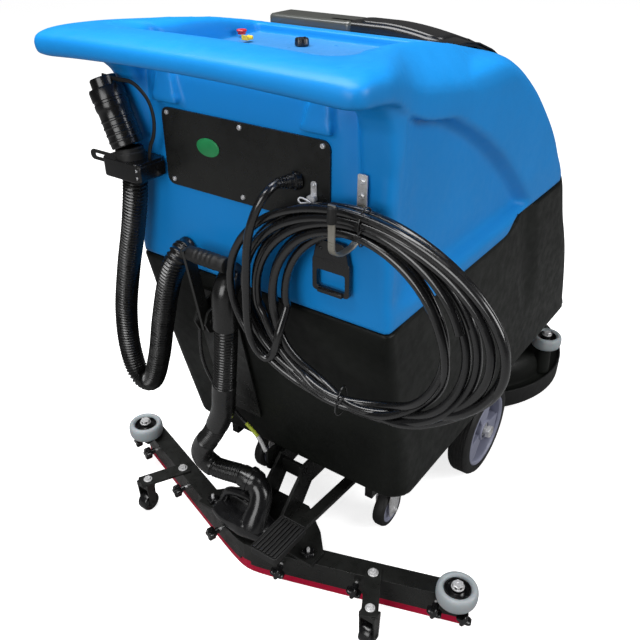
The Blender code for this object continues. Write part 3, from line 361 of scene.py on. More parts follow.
FINISHES = {
    "blue_polyethylene": dict(colour=(0.006, 0.24, 0.66), rough=0.4, mottle=0.05, mottle_scale=5,
        rough_range=0.05, grain=900, grain_depth=0.0001, swell=0.0006, swell_scale=28, specular=0.28),
    "black_polyethylene": dict(colour=(0.0065, 0.0075, 0.0062), rough=0.46, mottle=0.3,
        rough_range=0.08, grain=900, grain_depth=0.00014, swell=0.0005, swell_scale=30, specular=0.2),
    "black_steel": dict(colour=(0.014, 0.0145, 0.0135), rough=0.32, metallic=0.1, mottle=0.35,
        rough_range=0.12, grain=1500, grain_depth=0.0001, round_edges=0.0008, wear=0.3,
        wear_colour=(0.1, 0.1, 0.1)),
    "black_rubber": dict(colour=(0.009, 0.009, 0.009), rough=0.54, mottle=0.3, grain=1100,
        grain_depth=0.00012, round_edges=0.001),
    "tyre_rubber": dict(colour=(0.012, 0.012, 0.012), rough=0.6, mottle=0.35, mottle_scale=25,
        grain=900, grain_depth=0.0002, round_edges=0.001),
    "red_rubber": dict(colour=(0.5, 0.004, 0.04), rough=0.44, mottle=0.12, rough_range=0.08, grain=600,
        specular=0.25, grain_depth=0.00008, round_edges=0.0004, subsurface=0.25),
    "black_moulding": dict(colour=(0.006, 0.006, 0.0066), rough=0.24, coat=0.25, mottle=0.25,
        rough_range=0.08, grain=1000, grain_depth=0.00006, round_edges=0.001),
    "charcoal_lid": dict(colour=(0.014, 0.014, 0.0145), rough=0.24, coat=0.3, mottle=0.15,
        rough_range=0.06, grain=800, grain_depth=0.00008, swell=0.0004, swell_scale=30),
    "grey_roller": dict(colour=(0.35, 0.385, 0.405), rough=0.44, mottle=0.07, mottle_scale=30,
        rough_range=0.08, grain=600, grain_depth=0.00008, subsurface=0.15),
    "hub_grey": dict(colour=(0.26, 0.27, 0.36), rough=0.42, mottle=0.08, mottle_scale=25,
        rough_range=0.08, grain=900, grain_depth=0.0001, round_edges=0.001),
    "panel_blue": dict(colour=(0.045, 0.235, 0.56), rough=0.36, mottle=0.05, grain=1200,
        grain_depth=0.00006, round_edges=0.0008),
    "white_plastic": dict(colour=(0.78, 0.78, 0.78), rough=0.3, mottle=0.04, grain=900,
        grain_depth=0.00004, round_edges=0.0008),
    "yellow_plastic": dict(colour=(0.75, 0.5, 0.03), rough=0.34, mottle=0.06, grain=900,
        grain_depth=0.00004, round_edges=0.0006),
    "motor_casing": dict(colour=(0.16, 0.16, 0.17), rough=0.38, metallic=0.6, mottle=0.2, grain=700,
        grain_depth=0.0002, round_edges=0.0008, stretch=(1, 1, 10)),
    "blue_bristle": dict(colour=(0.05, 0.1, 0.34), rough=0.55, mottle=0.35, mottle_scale=120,
        grain=2500, grain_depth=0.0003, stretch=(1, 1, 0.1)),
    "cord_jacket": dict(colour=(0.005, 0.005, 0.0055), rough=0.26, coat=0.8, mottle=0.3,
        mottle_scale=14, rough_range=0.09, grain=1400, grain_depth=0.00005),
    "hose_black": dict(colour=(0.006, 0.006, 0.006), rough=0.28, coat=0.35, mottle=0.35,
        mottle_scale=30, rough_range=0.1, grain=1400, grain_depth=0.00006),
    # The rear lid panel's finish: a glossier coat, and a lighter grey than the charcoal lid that is painted
    # sheen for the light on the lid's rear-left part.
    "lid_panel_painted_sheen": dict(colour=(0.07, 0.073, 0.066), rough=0.2, coat=0.4, mottle=0.1, rough_range=0.05,
        grain=800, grain_depth=0.00006),
    "signal_red": dict(colour=(0.55, 0.02, 0.02), rough=0.32, mottle=0.06, grain=900,
        grain_depth=0.00004, round_edges=0.0006),
    "signal_green": dict(colour=(0.02, 0.28, 0.09), rough=0.35, mottle=0.1, mottle_scale=60, grain=900,
        grain_depth=0.00004),
    "cable_sleeve": dict(colour=(0.42, 0.5, 0.04), rough=0.42, mottle=0.1, mottle_scale=60, grain=900,
        grain_depth=0.00006),
    "beige_steel": dict(colour=(0.3, 0.285, 0.245), rough=0.36, metallic=0.55, mottle=0.12,
        mottle_scale=40, rough_range=0.12, grain=700, grain_depth=0.00006, stretch=(1, 1, 6)),
}


def make_looks():
    """One material for each slot of the record, and a few more for the added pieces."""
    looks = {name: surface_look(name, **finish) for name, finish in FINISHES.items()}
    looks["zinc_steel"] = zinc_look("zinc_steel", (0.72, 0.72, 0.73), 0.28)
    return looks


# ======== mesh helpers: a shape is (vertices, faces) ========


def merged(*shapes):
    """All the shapes as one."""
    vertices = []
    faces = []
    for shape_vertices, shape_faces in shapes:
        start = len(vertices)
        vertices.extend(Vector(v) for v in shape_vertices)
        faces.extend(tuple(start + i for i in face) for face in shape_faces)
    return vertices, faces


def tube(rings, closed=False):
    """Quads from each ring to the next, with flat caps unless the rings close on themselves."""
    count = len(rings[0])
    vertices = [point for ring in rings for point in ring]
    faces = []
    for r in range(len(rings) if closed else len(rings) - 1):
        here = r * count
        there = (r + 1) % len(rings) * count
        for i in range(count):
            j = (i + 1) % count
            faces.append((here + i, here + j, there + j, there + i))
    if not closed:
        faces.append(tuple(reversed(range(count))))
        faces.append(tuple(range((len(rings) - 1) * count, len(rings) * count)))
    return vertices, faces


def around(steps):
    """Equal angles round a full turn."""
    return [2 * math.pi * k / steps for k in range(steps)]


def turn_to(axis):
    """The turn that takes +Z to the axis."""
    return Vector(UP).rotation_difference(Vector(axis).normalized()).to_matrix()


def signed_power(value, power):
    return math.copysign(abs(value) ** power, value)


def lifted(outline, axis, level):
    """An outline in the two other axes, in their x, y, z order, set at a level along the axis."""
    ring = []
    for point in outline:
        values = list(point)
        values.insert("xyz".index(axis), level)
        ring.append(Vector(values))
    return ring


def prism(outline, axis, low, high):
    """The outline raised from low to high along the axis."""
    return tube([lifted(outline, axis, low), lifted(outline, axis, high)])


def ring_plate(outer, inner, axis, low, high):
    """A flat plate between two outlines with the same number of points."""
    loops = ((outer, low), (outer, high), (inner, high), (inner, low))
    return tube([lifted(outline, axis, level) for outline, level in loops], closed=True)


def block(low, high):
    outline = [(low[0], low[1]), (high[0], low[1]), (high[0], high[1]), (low[0], high[1])]
    return prism(outline, "z", low[2], high[2])


def rounded(low, high, radius, steps=5):
    """A rectangle's outline from low to high with round corners."""
    points = []
    corners = ((high[0], high[1], 0), (low[0], high[1], 90), (low[0], low[1], 180), (high[0], low[1], 270))
    for x, y, start in corners:
        centre_x = x - math.copysign(radius, x - (low[0] + high[0]) / 2)
        centre_y = y - math.copysign(radius, y - (low[1] + high[1]) / 2)
        for k in range(steps + 1):
            angle = math.radians(start + 90 * k / steps)
            points.append((centre_x + radius * math.cos(angle), centre_y + radius * math.sin(angle)))
    return points


def turned(profile, centre, axis, steps=48):
    """A profile of (radius, height along the axis) turned about centre; it closes through the axis."""
    turn = turn_to(axis)
    rings = []
    for radius, height in profile:
        rings.append([
            Vector(centre) + turn @ Vector((radius * math.cos(angle), radius * math.sin(angle), height))
            for angle in around(steps)
        ])
    return tube(rings)


def turned_ring(profile, centre, axis, steps=48):
    """A closed profile turned about centre, leaving a hole through the middle."""
    turn = turn_to(axis)
    rings = []
    for angle in around(steps):
        spin = Matrix.Rotation(angle, 3, "Z")
        rings.append([Vector(centre) + turn @ (spin @ Vector((r, 0, h))) for r, h in profile])
    return tube(rings, closed=True)


def smooth_path(points, spacing):
    """A Catmull-Rom curve through the points, cut into equal steps of about that spacing."""
    given = [Vector(p) for p in points]
    ends = [given[0] * 2 - given[1]] + given + [given[-1] * 2 - given[-2]]
    fine = []
    for a, b, c, d in zip(ends, ends[1:], ends[2:], ends[3:]):
        for k in range(24):
            t = k / 24
            fine.append(0.5 * (2 * b + (c - a) * t + (2 * a - 5 * b + 4 * c - d) * t * t
                               + (3 * b - a - 3 * c + d) * t ** 3))
    fine.append(given[-1])
    return resampled(fine, spacing)


def resampled(points, spacing):
    travelled = [0.0]
    for a, b in zip(points, points[1:]):
        travelled.append(travelled[-1] + (b - a).length)
    count = max(2, round(travelled[-1] / spacing))
    result = []
    at = 0
    for k in range(count + 1):
        goal = travelled[-1] * k / count
        while at < len(points) - 2 and travelled[at + 1] < goal:
            at += 1
        span = travelled[at + 1] - travelled[at]
        share = (goal - travelled[at]) / span if span else 0
        result.append(points[at].lerp(points[at + 1], min(1, share)))
    return result


def frames_along(path, closed=False):
    """(point, side, up) along the path, turned as little as possible from one to the next."""
    count = len(path)
    tangents = []
    for k in range(count):
        after = path[(k + 1) % count] if closed or k < count - 1 else path[k]
        before = path[k - 1] if closed or k else path[k]
        tangents.append((after - before).normalized())
    side = tangents[0].orthogonal().normalized()
    found = []
    for k, tangent in enumerate(tangents):
        if k:
            side = tangents[k - 1].rotation_difference(tangent) @ side
        side = (side - tangent * side.dot(tangent)).normalized()
        found.append((path[k], side, tangent.cross(side)))
    return found


def pipe(path, radius, steps=16, closed=False):
    """A round tube along the path; radius is a number or a function of the step's index."""
    rings = []
    for k, (point, side, up) in enumerate(frames_along(path, closed)):
        size = radius(k) if callable(radius) else radius
        rings.append([point + size * (math.cos(a) * side + math.sin(a) * up) for a in around(steps)])
    return tube(rings, closed)


def ribbed(points, ridge, ribs=((0, 1),), plain=HOSE_RADIUS):
    """A hose through the points, ribbed over those shares of its length and plain elsewhere."""
    samples = 6
    path = smooth_path(points, HOSE_PITCH / samples)

    def size(k):
        if not any(low <= k / len(path) <= high for low, high in ribs):
            return plain
        wave = 0.5 + 0.5 * math.cos(2 * math.pi * k / samples)
        return HOSE_RADIUS - ridge * (1 - wave ** 1.4)

    return pipe(path, size, 28)


def sweep(path, section, up=Vector(UP), closed=False):
    """section(k) gives (across, height) points; across lies level, at right angles to the path."""
    rings = []
    count = len(path)
    for k, point in enumerate(path):
        after = path[(k + 1) % count] if closed or k < count - 1 else point
        before = path[k - 1] if closed or k else point
        tangent = (after - before).normalized()
        across = tangent.cross(up).normalized()
        rise = across.cross(tangent)
        rings.append([point + across * a + rise * h for a, h in section(k)])
    return tube(rings, closed)


def oval(width, height, power=2.6, steps=32):
    """A superellipse: rounder than a box, squarer than an ellipse."""
    return [
        (signed_power(math.cos(angle), 2 / power) * width / 2,
         signed_power(math.sin(angle), 2 / power) * height / 2)
        for angle in around(steps)
    ]


def mirrored(shape):
    vertices, faces = shape
    return [Vector((-v.x, v.y, v.z)) for v in vertices], [tuple(reversed(f)) for f in faces]


def lobed(levels, radius, wave, lobes, place, steps):
    """Rings of a knob with lobes; a level is (height, scale), and place() sets a point in the frame."""
    rings = []
    for height, scale in levels:
        ring = []
        for angle in around(steps):
            reach = (radius + wave * math.cos(lobes * angle)) * scale
            ring.append(place(Vector((reach * math.cos(angle), reach * math.sin(angle), height))))
        rings.append(ring)
    return rings


def smoothstep(value):
    t = min(1.0, max(0.0, value))
    return t * t * (3 - 2 * t)


def in_table(table, at):
    """The row of a table at that first value, in straight lines from row to row and level beyond."""
    rows = sorted(table)
    at = min(max(at, rows[0][0]), rows[-1][0])
    for low, high in zip(rows, rows[1:]):
        if at <= high[0]:
            share = (at - low[0]) / (high[0] - low[0])
            return [a + (b - a) * share for a, b in zip(low[1:], high[1:])]


def rounding(radius, distance):
    """How far a round edge of that radius falls away, at that distance in from the rim."""
    return radius - math.sqrt(max(0.0, radius ** 2 - max(0.0, radius - distance) ** 2))


def mesh_joined(mesh, shapes):
    """The mesh with more shapes added as loose parts."""
    edit = bmesh.new()
    edit.from_mesh(mesh)
    for shape in shapes:
        edit.from_mesh(mesh_from(mesh.name, shape))
    edit.to_mesh(mesh)
    edit.free()
    return mesh


def mesh_from(name, shape):
    vertices, faces = shape
    mesh = bpy.data.meshes.new(name)
    mesh.from_pydata(vertices, [], faces)
    edit = bmesh.new()
    edit.from_mesh(mesh)
    bmesh.ops.recalc_face_normals(edit, faces=edit.faces)
    edit.to_mesh(mesh)
    edit.free()
    return mesh


LOOKS = make_looks()


def piece(name, body, look, *shapes, replaces=None, slot=None, bevel=0.0, sharp=35, ride=True):
    """A finished piece that rides on a body, with softened edges and its material."""
    obj = bpy.data.objects.new(name, mesh_from(name, merged(*shapes)))
    return finish_piece(obj, body, look, replaces, bevel, sharp, ride)


def finish_piece(obj, body, look, replaces=None, bevel=0.0, sharp=35, ride=True):
    """Moves the piece by SHIFT into the frame, shades it smooth with its material and softened edges, lets
    it ride on its body and hides the CAD node it replaces.
    """
    bpy.context.scene.collection.objects.link(obj)
    obj.data.transform(Matrix.Translation(SHIFT))
    obj.data.shade_smooth()
    obj.data.set_sharp_from_angle(angle=math.radians(sharp))
    obj.data.materials.append(LOOKS[look])
    if bevel:
        edge = obj.modifiers.new("edge", "BEVEL")
        edge.width = bevel
        edge.segments = 2
        edge.limit_method = "ANGLE"
        edge.angle_limit = math.radians(sharp)
    if ride:
        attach(obj, body)
    if replaces:
        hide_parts(replaces)
    return obj


def evaluated_mesh(obj):
    """The object's mesh with its modifiers applied; the object itself is removed."""
    graph = bpy.context.evaluated_depsgraph_get()
    mesh = bpy.data.meshes.new_from_object(obj.evaluated_get(graph))
    bpy.data.objects.remove(obj)
    return mesh


def temporary(name, shape):
    obj = bpy.data.objects.new(name, mesh_from(name, shape))
    bpy.context.scene.collection.objects.link(obj)
    return obj


def moulded(name, body, look, hull, additions, cutters, replaces, sharp=60):
    """A rotomoulded shell: the hull less its cutters, joined to the additions, every edge softened."""
    base = temporary(name, hull)
    tools = [temporary("cutter", cutter) for cutter in cutters]
    for tool in tools:
        cut = base.modifiers.new("cut", "BOOLEAN")
        cut.operation = "DIFFERENCE"
        cut.solver = "EXACT"
        cut.object = tool
    carved = evaluated_mesh(base)
    for tool in tools:
        bpy.data.objects.remove(tool)
    joined = bpy.data.objects.new(name, mesh_joined(carved, additions))
    bpy.context.scene.collection.objects.link(joined)
    remesh = joined.modifiers.new("remesh", "REMESH")
    remesh.mode = "VOXEL"
    remesh.voxel_size = VOXEL
    soften = joined.modifiers.new("soften", "SMOOTH")
    soften.factor = 0.5
    soften.iterations = 5
    obj = bpy.data.objects.new(name, evaluated_mesh(joined))
    return finish_piece(obj, body, look, replaces, sharp=sharp)


# ======== tanks ========


def level_at(levels, z):
    """The outline's five sizes at height z, on a smooth curve through the levels."""
    last = len(levels) - 1
    k = max(i for i in range(last) if levels[i][0] <= z or i == 0)
    low = levels[k]
    high = levels[k + 1]
    span = high[0] - low[0]
    t = (z - low[0]) / span
    sizes = []
    for column in range(1, 6):
        def slope(i):
            before = levels[max(0, i - 1)]
            after = levels[min(last, i + 1)]
            return (after[column] - before[column]) / (after[0] - before[0])
        a, b = low[column], high[column]
        sizes.append(
            a * (2 * t ** 3 - 3 * t ** 2 + 1) + slope(k) * span * (t ** 3 - 2 * t ** 2 + t)
            + b * (3 * t ** 2 - 2 * t ** 3) + slope(k + 1) * span * (t ** 3 - t ** 2))
    return sizes


def level_outline(sizes, side_steps=190, end_steps=50, corner_steps=10):
    """The tank's outline at one level, starting at the right rear and going round by the front."""
    rear, front, half, rear_r, front_r = sizes
    corners = ((1, 1, front, front_r), (-1, 1, front, front_r), (-1, -1, rear, rear_r),
               (1, -1, rear, rear_r))
    points = []
    begin_x = half
    begin_y = rear + rear_r
    for quarter, (right, ahead, end_y, radius) in enumerate(corners):
        centre_x = right * (half - radius)
        centre_y = end_y - ahead * radius
        bend = []
        for k in range(corner_steps + 1):
            angle = math.pi / 2 * (quarter + k / corner_steps)
            bend.append((centre_x + radius * math.cos(angle), centre_y + radius * math.sin(angle)))
        steps = end_steps if quarter % 2 else side_steps
        for k in range(steps):
            share = k / steps
            points.append((begin_x + (bend[0][0] - begin_x) * share,
                           begin_y + (bend[0][1] - begin_y) * share))
        points += bend[:-1]
        begin_x, begin_y = bend[-1]
    return points


def seam_lift(y):
    """The seam between the tanks steps up towards the front."""
    return SEAM_STEP * smoothstep((y - SEAM_STEP_FROM) / (SEAM_STEP_TO - SEAM_STEP_FROM))


def bottom_lift(y):
    """The black tank's underside steps up ahead of the wheels."""
    return BOTTOM_STEP * smoothstep((y - SEAM_STEP_TO) / (BOTTOM_STEP_TO - SEAM_STEP_TO))


def heights(levels):
    """Even steps from the lowest level to the highest."""
    low = levels[0][0]
    high = levels[-1][0]
    count = round((high - low) / LEVEL_STEP)
    return [low + (high - low) * k / count for k in range(count + 1)]


def upper_recess(y, z):
    """How far the blue side is hollowed at (y, z): deepest just behind the arc, none at the rear."""
    radius = math.hypot(y - ARC_CENTRE_Y, z - ARC_CENTRE_Z)
    width = ARC_STEP_TOP + ARC_STEP_SPREAD * smoothstep((0.88 - z) / 0.26)
    depth = smoothstep((ARC_RADIUS - radius) / width)
    floor = smoothstep((z - RECESS_FLOOR_Z + 0.012) / 0.024)
    rear_fade = smoothstep((y - RECESS_REAR_Y) / RECESS_REAR_FADE)
    return RECESS_DEPTH * depth * floor * rear_fade


def lower_valley(y, z):
    """How far the black side is hollowed at (y, z): a valley that runs on from the blue arc."""
    (top_y, top_z), (foot_y, foot_z) = VALLEY_TOP, VALLEY_FOOT
    along = Vector((foot_y - top_y, foot_z - top_z)).normalized()
    offset = Vector((y - top_y, z - top_z))
    away = abs(offset.x * along.y - offset.y * along.x)
    fade = smoothstep((z - VALLEY_FADE_Z) / 0.08)
    return VALLEY_DEPTH * (1 - smoothstep(away / VALLEY_HALF_WIDTH)) * fade


def hollowed(x, half, recess):
    """x pulled in by the recess, on the flat sides only."""
    flatness = smoothstep((abs(x) / half - 0.93) / 0.06)
    return x - math.copysign(recess * flatness, x)


def upper_hull():
    rings = []
    low = UPPER_LEVELS[0][0]
    for z in heights(UPPER_LEVELS):
        sizes = level_at(UPPER_LEVELS, z)
        lift_share = 1 - smoothstep((z - low) / 0.09)
        ring = []
        for x, y in level_outline(sizes):
            height = z + seam_lift(y) * lift_share
            column = smoothstep(1 - abs(abs(x) - COLUMN_X) / COLUMN_HALF) * smoothstep((z - 0.7) / 0.1)
            inward = COLUMN_DEPTH * column if y < -0.4 else 0
            ring.append(Vector((hollowed(x, sizes[2], upper_recess(y, height)), y + inward, height)))
        rings.append(ring)
    return tube(rings)


def lower_hull():
    rings = []
    high = LOWER_LEVELS[-1][0]
    for z in heights(LOWER_LEVELS):
        sizes = level_at(LOWER_LEVELS, z)
        seam_share = smoothstep((z - high + 0.09) / 0.09)
        floor_share = 1 - smoothstep((z - BOTTOM_Z) / 0.04)
        ring = []
        for x, y in level_outline(sizes):
            height = z + seam_lift(y) * seam_share + bottom_lift(y) * floor_share
            ring.append(Vector((hollowed(x, sizes[2], lower_valley(y, height)), y, height)))
        rings.append(ring)
    return tube(rings)


def handle_edge(side_x, front_x, end_y, corner):
    """Half of one edge of the loop in plan: along the side, round the corner, to the middle of the bar."""
    points = []
    for k in range(48):
        y = HANDLE_LEVELS[0][0] + (end_y + corner - HANDLE_LEVELS[0][0]) * k / 48
        straight = front_x + (side_x - front_x) * smoothstep((-0.415 - y) / 0.11)
        points.append((straight - SHOULDER_TUCK * smoothstep((y + 0.11) / 0.17), y))
    for k in range(12):
        angle = math.pi / 2 * k / 12
        points.append((side_x - corner + corner * math.cos(angle),
                       end_y + corner - corner * math.sin(angle)))
    for k in range(25):
        points.append(((side_x - corner) * (1 - k / 24), end_y))
    return points


def handle_loop():
    """The loop as rings between its outer and inner edge, out of one shoulder and into the other."""
    outer = handle_edge(HANDLE_OUTER_X, SHOULDER_OUTER_X, HANDLE_REAR_Y, HANDLE_OUTER_CORNER)
    inner = handle_edge(HANDLE_INNER_X, SHOULDER_INNER_X, HANDLE_INNER_Y, HANDLE_INNER_CORNER)
    rings = []
    for (outer_x, outer_y), (inner_x, inner_y) in zip(outer, inner):
        y = (outer_y + inner_y) / 2
        middle, height = in_table(HANDLE_LEVELS, y)
        crown = HANDLE_CROWN * (1 - min(1, abs(outer_x) / HANDLE_OUTER_X) ** 2) if y < HANDLE_INNER_Y else 0
        shoulder = smoothstep((y + 0.47) / 0.14)
        slant = 0.034 * shoulder + 0.012 * smoothstep((y + 0.2) / 0.2)
        ring = []
        for (across, rise), (_, squarer) in zip(oval(1.0, height, 2.5, 40), oval(1.0, height, 6.0, 40)):
            share = across + 0.5
            lift = squarer if rise < 0 else rise + (squarer - rise) * shoulder
            ring.append(Vector((
                inner_x + (outer_x - inner_x) * share, inner_y + (outer_y - inner_y) * share,
                middle + crown + lift * (1 - crown / height) - slant * max(0, share - 0.22) / 0.78)))
        rings.append(ring)
    other = [[Vector((-point.x, point.y, point.z)) for point in ring] for ring in reversed(rings[:-1])]
    return tube(rings + other)


def gusset():
    """A wedge on the rear wall under the bar: proud and wide at its foot, flush and narrow at its top."""
    foot = ((0.104, -0.44), (0.154, -0.44), (0.154, -0.47), (0.104, -0.47))
    head = ((0.126, -0.44), (0.146, -0.44), (0.146, -0.458), (0.126, -0.458))
    return tube([lifted(foot, "z", 0.826), lifted(head, "z", 0.892)])


def arm_web():
    """The corner post's top, which flares out backwards in one curve to carry the bar."""
    rings = []
    for z, rear_y, outer_x, corner in (
        (0.73, -0.444, 0.228, 0.01), (0.77, -0.452, 0.234, 0.014), (0.81, -0.457, 0.239, 0.016),
        (0.84, -0.462, 0.239, 0.018), (0.86, -0.472, 0.239, 0.018), (0.874, -0.488, 0.239, 0.018),
        (0.884, -0.512, 0.24, 0.018), (0.892, -0.535, 0.24, 0.018),
    ):
        rings.append(lifted(rounded((0.184, rear_y), (outer_x, -0.42), corner), "z", z))
    return tube(rings)


def console_ridge():
    """The raised lip between the control panel and the lid."""
    return prism(rounded((-0.176, -0.217), (0.176, -0.1945), 0.004), "z", 0.868, 0.896)


def make_recovery_tank():
    """The blue tank with its handle, a well for the dirty water and a dry pocket for the controls."""
    well = prism(rounded((-0.14, -0.165), (0.14, 0.07), 0.02), "z", 0.64, 0.92)
    dry_pocket = prism(rounded((-0.125, 0.715), (0.125, 0.805), 0.01), "y", -0.5, -0.37)
    moulded(
        "blue_recovery_tank", "machine", "blue_polyethylene", upper_hull(),
        [handle_loop(), gusset(), mirrored(gusset()), arm_web(), mirrored(arm_web()), console_ridge()],
        [well, dry_pocket], "recovery_tank")


def make_solution_tank():
    """The black tank, cut away for the main wheels, the brush motor and the suction motor."""
    arches = []
    for side in (1, -1):
        arches.append(turned([(0.107, 0), (0.107, 0.08)], (0.184 * side, 0, WHEEL_RADIUS), (side, 0, 0),
                             64))
    brush_pocket = turned([(0.095, 0), (0.095, 0.19)], (0, DECK_Y, 0.147), UP)
    fan_pocket = prism(rounded((-0.085, -0.405), (0.085, -0.255), 0.02), "z", 0.4, 0.62)
    moulded(
        "black_solution_tank", "machine", "black_polyethylene", lower_hull(), [],
        arches + [brush_pocket, fan_pocket], "solution_tank")


# ======== lid and console ========


def lid_dome(x, y):
    """Height of the dome's top above the tank: it thins towards the front and falls to each side."""
    high = LID_HIGH + (LID_FRONT_HIGH - LID_HIGH) * smoothstep((y + 0.165) / 0.135)
    outward = max(0.0, abs(x) - LID_FLAT_HALF) / (LID_HALF - LID_FLAT_HALF)
    rear_share = (high - LID_FRONT_HIGH) / (LID_HIGH - LID_FRONT_HIGH)
    return high - LID_FALL * outward ** 1.7 * (0.35 + 0.65 * rear_share)


def lid_slab(x_low, x_high, y_low, y_high, low, top_at, corner, edge=0.007, stations=44):
    """A slab over the tank's top, as high as top_at(x, y), round in its corners and along its edges."""
    rings = []
    across = 40
    for k in range(stations + 1):
        t = k / stations
        y = y_low + (y_high - y_low) * (0.5 - 0.5 * math.cos(math.pi * t))
        nearest = min(y - y_low, y_high - y)
        thin = rounding(edge, nearest)
        level = in_table(LID_PROFILE, y)[0]
        left = x_low + rounding(corner, nearest)
        right = x_high - rounding(corner, nearest)
        half = (right - left) / 2
        top = []
        bottom = []
        for i in range(across + 1):
            s = -math.cos(math.pi * i / across)
            x = (left + right) / 2 + half * s
            from_side = half - abs(s) * half
            fall = rounding(edge, from_side)
            top.append(Vector((x, y, level + max(low + 0.002, top_at(x, y) - thin - fall * 0.9))))
            bottom.append(Vector((x, y, level + low + min(thin, 0.002))))
        rings.append(top + bottom[::-1])
    return tube(rings)


def make_lid():
    piece("lid_dome", "lid", "charcoal_lid",
          lid_slab(-LID_HALF, LID_HALF, -0.186, 0.096, LID_LOW, lid_dome, LID_CORNER),
          replaces="tank_lid", slot="charcoal_lid", sharp=50)
    # The raised rear-left panel of the lid; its lighter grey is a painted sheen, standing in for the light
    # that falls on this part of the lid.
    piece("lid_rear_panel", "lid", "lid_panel_painted_sheen",
          lid_slab(-LID_HALF + 0.002, -0.004, -0.19, -0.13, LID_LOW + 0.004, lambda x, y: LID_HIGH,
                   0.008, 0.006, 24),
          slot="charcoal_lid", sharp=50)
    piece("lid_front_panel", "lid", "charcoal_lid",
          lid_slab(0.002, LID_HALF - 0.02, -0.183, -0.03, LID_LOW + 0.004, lambda x,
                   y: lid_dome(x, y) + 0.0035, 0.02, 0.004, 30),
          slot="charcoal_lid", sharp=50)
    knuckles = []
    for x in (-0.11, 0.11):
        knuckles.append(turned([(0.0055, 0), (0.0055, 0.03)], (x - 0.015, 0.0985, 0.7985), RIGHT, 20))
        knuckles.append(block((x - 0.014, 0.084, 0.798), (x + 0.014, 0.097, 0.806)))
    piece("lid_hinge_knuckles", "lid", "black_moulding", *knuckles, bevel=0.0008)


def screw_head(centre, axis, radius=0.0038, height=0.0022):
    """A pan head with a rounded rim and a dimpled recess."""
    profile = [
        (radius, -0.0012), (radius, height * 0.35), (radius * 0.86, height * 0.78), (radius * 0.55, height),
        (radius * 0.42, height * 0.95), (radius * 0.3, height * 0.45), (radius * 0.08, height * 0.4),
    ]
    return turned(profile, centre, axis, 16)


def hex_bolt(centre, axis, radius, height, washer=1.35):
    """A washer, a six-sided head and a domed centre."""
    head = [(1.0, 0.001), (1.0, height * 0.82), (0.88, height), (0.3, height), (0.2, height * 0.9)]
    plate = [(washer, -0.0008), (washer, 0.0008), (washer * 0.96, 0.0012)]
    return merged(
        turned([(radius * size, level) for size, level in head], centre, axis, 6),
        turned([(radius * size, level) for size, level in plate], centre, axis, 24))


def make_cover_details():
    """Six screws round the rear cover and the blank oval badge on it."""
    screws = []
    for half_width, z in ((0.136, 0.81), (0.133, 0.712)):
        for x in (-half_width, 0, half_width):
            screws.append(screw_head((x, -0.4588, z), BACK, 0.0036))
    piece("rear_cover_screws", "machine", "zinc_steel", *screws)
    disc = [(NEAR_ZERO, -0.0008), (0.021, -0.0008), (0.021, 0.0004), (0.0195, 0.001), (NEAR_ZERO, 0.001)]
    vertices, faces = turned(disc, (0, 0, 0), BACK, 40)
    oval_disc = [Vector((v.x - 0.06, v.y - 0.4592, v.z * 0.62 + 0.772)) for v in vertices]
    piece("blank_badge", "machine", "signal_green", (oval_disc, faces), slot="white_plastic")


def make_cord_hook():
    """The two small straps above the coil, and the hook that the coil hangs on."""
    strap_a = prism(rounded((0.1185, 0.738), (0.1275, 0.762), 0.004), "y", -0.4608, -0.4592)
    tongue = prism(rounded((0.117, 0.7355), (0.129, 0.744), 0.003), "y", -0.468, -0.4606)
    clip = [
        (0.123, -0.469, 0.737), (0.113, -0.474, 0.7345), (0.108, -0.474, 0.7385),
        (0.112, -0.472, 0.741),
        (0.124, -0.472, 0.738), (0.135, -0.476, 0.733), (0.145, -0.48, 0.728),
    ]
    piece("cord_clip_strap", "machine", "zinc_steel", strap_a, tongue,
          screw_head((0.123, -0.4609, 0.757), BACK, 0.003), bevel=0.0003)
    piece("cord_clip_wire", "machine", "zinc_steel", pipe(smooth_path(clip, 0.002), 0.0013, 10))
    strap_b = prism(rounded((0.1885, 0.738), (0.2025, 0.7855), 0.002), "y", -0.4596, -0.457)
    piece("hook_strap", "machine", "zinc_steel", strap_b, bevel=0.0004, replaces="cord_hook")
    piece("hook_strap_screws", "machine", "zinc_steel",
          *[screw_head((0.1955, -0.4597, z), BACK, 0.0045, 0.0028) for z in (0.777, 0.758)])
    bar = [(HOOK_X, -0.4615, 0.748), (HOOK_X, -0.4615, 0.712)]
    for k in range(1, 9):
        angle = math.pi * k / 8
        bar.append((HOOK_X, -0.4935 + 0.032 * math.cos(angle), 0.712 - 0.016 * math.sin(angle)))
    bar.append((HOOK_X, -0.5255, 0.768))
    path = resampled([Vector(p) for p in bar], 0.003)
    outline = rounded((-0.005, -0.002), (0.005, 0.002), 0.0018, 3)
    rings = []
    for point, before, after in zip(path, path[:1] + path, path[1:] + path[-1:]):
        normal = Vector(RIGHT).cross((after - before).normalized())
        rings.append([point + Vector((a, 0, 0)) + normal * h for a, h in outline])
    piece("cord_hook_bar", "machine", "beige_steel", tube(rings), slot="zinc_steel", sharp=50)
    cap_profile = [(NEAR_ZERO, 0.0225), (0.0038, 0.022), (0.0056, 0.02), (0.0062, 0.001), (0.0058, 0),
                   (NEAR_ZERO, 0)]
    piece("cord_hook_cap", "machine", "black_rubber",
          turned(cap_profile[::-1], (HOOK_X, -0.5255, 0.745), UP, 24))


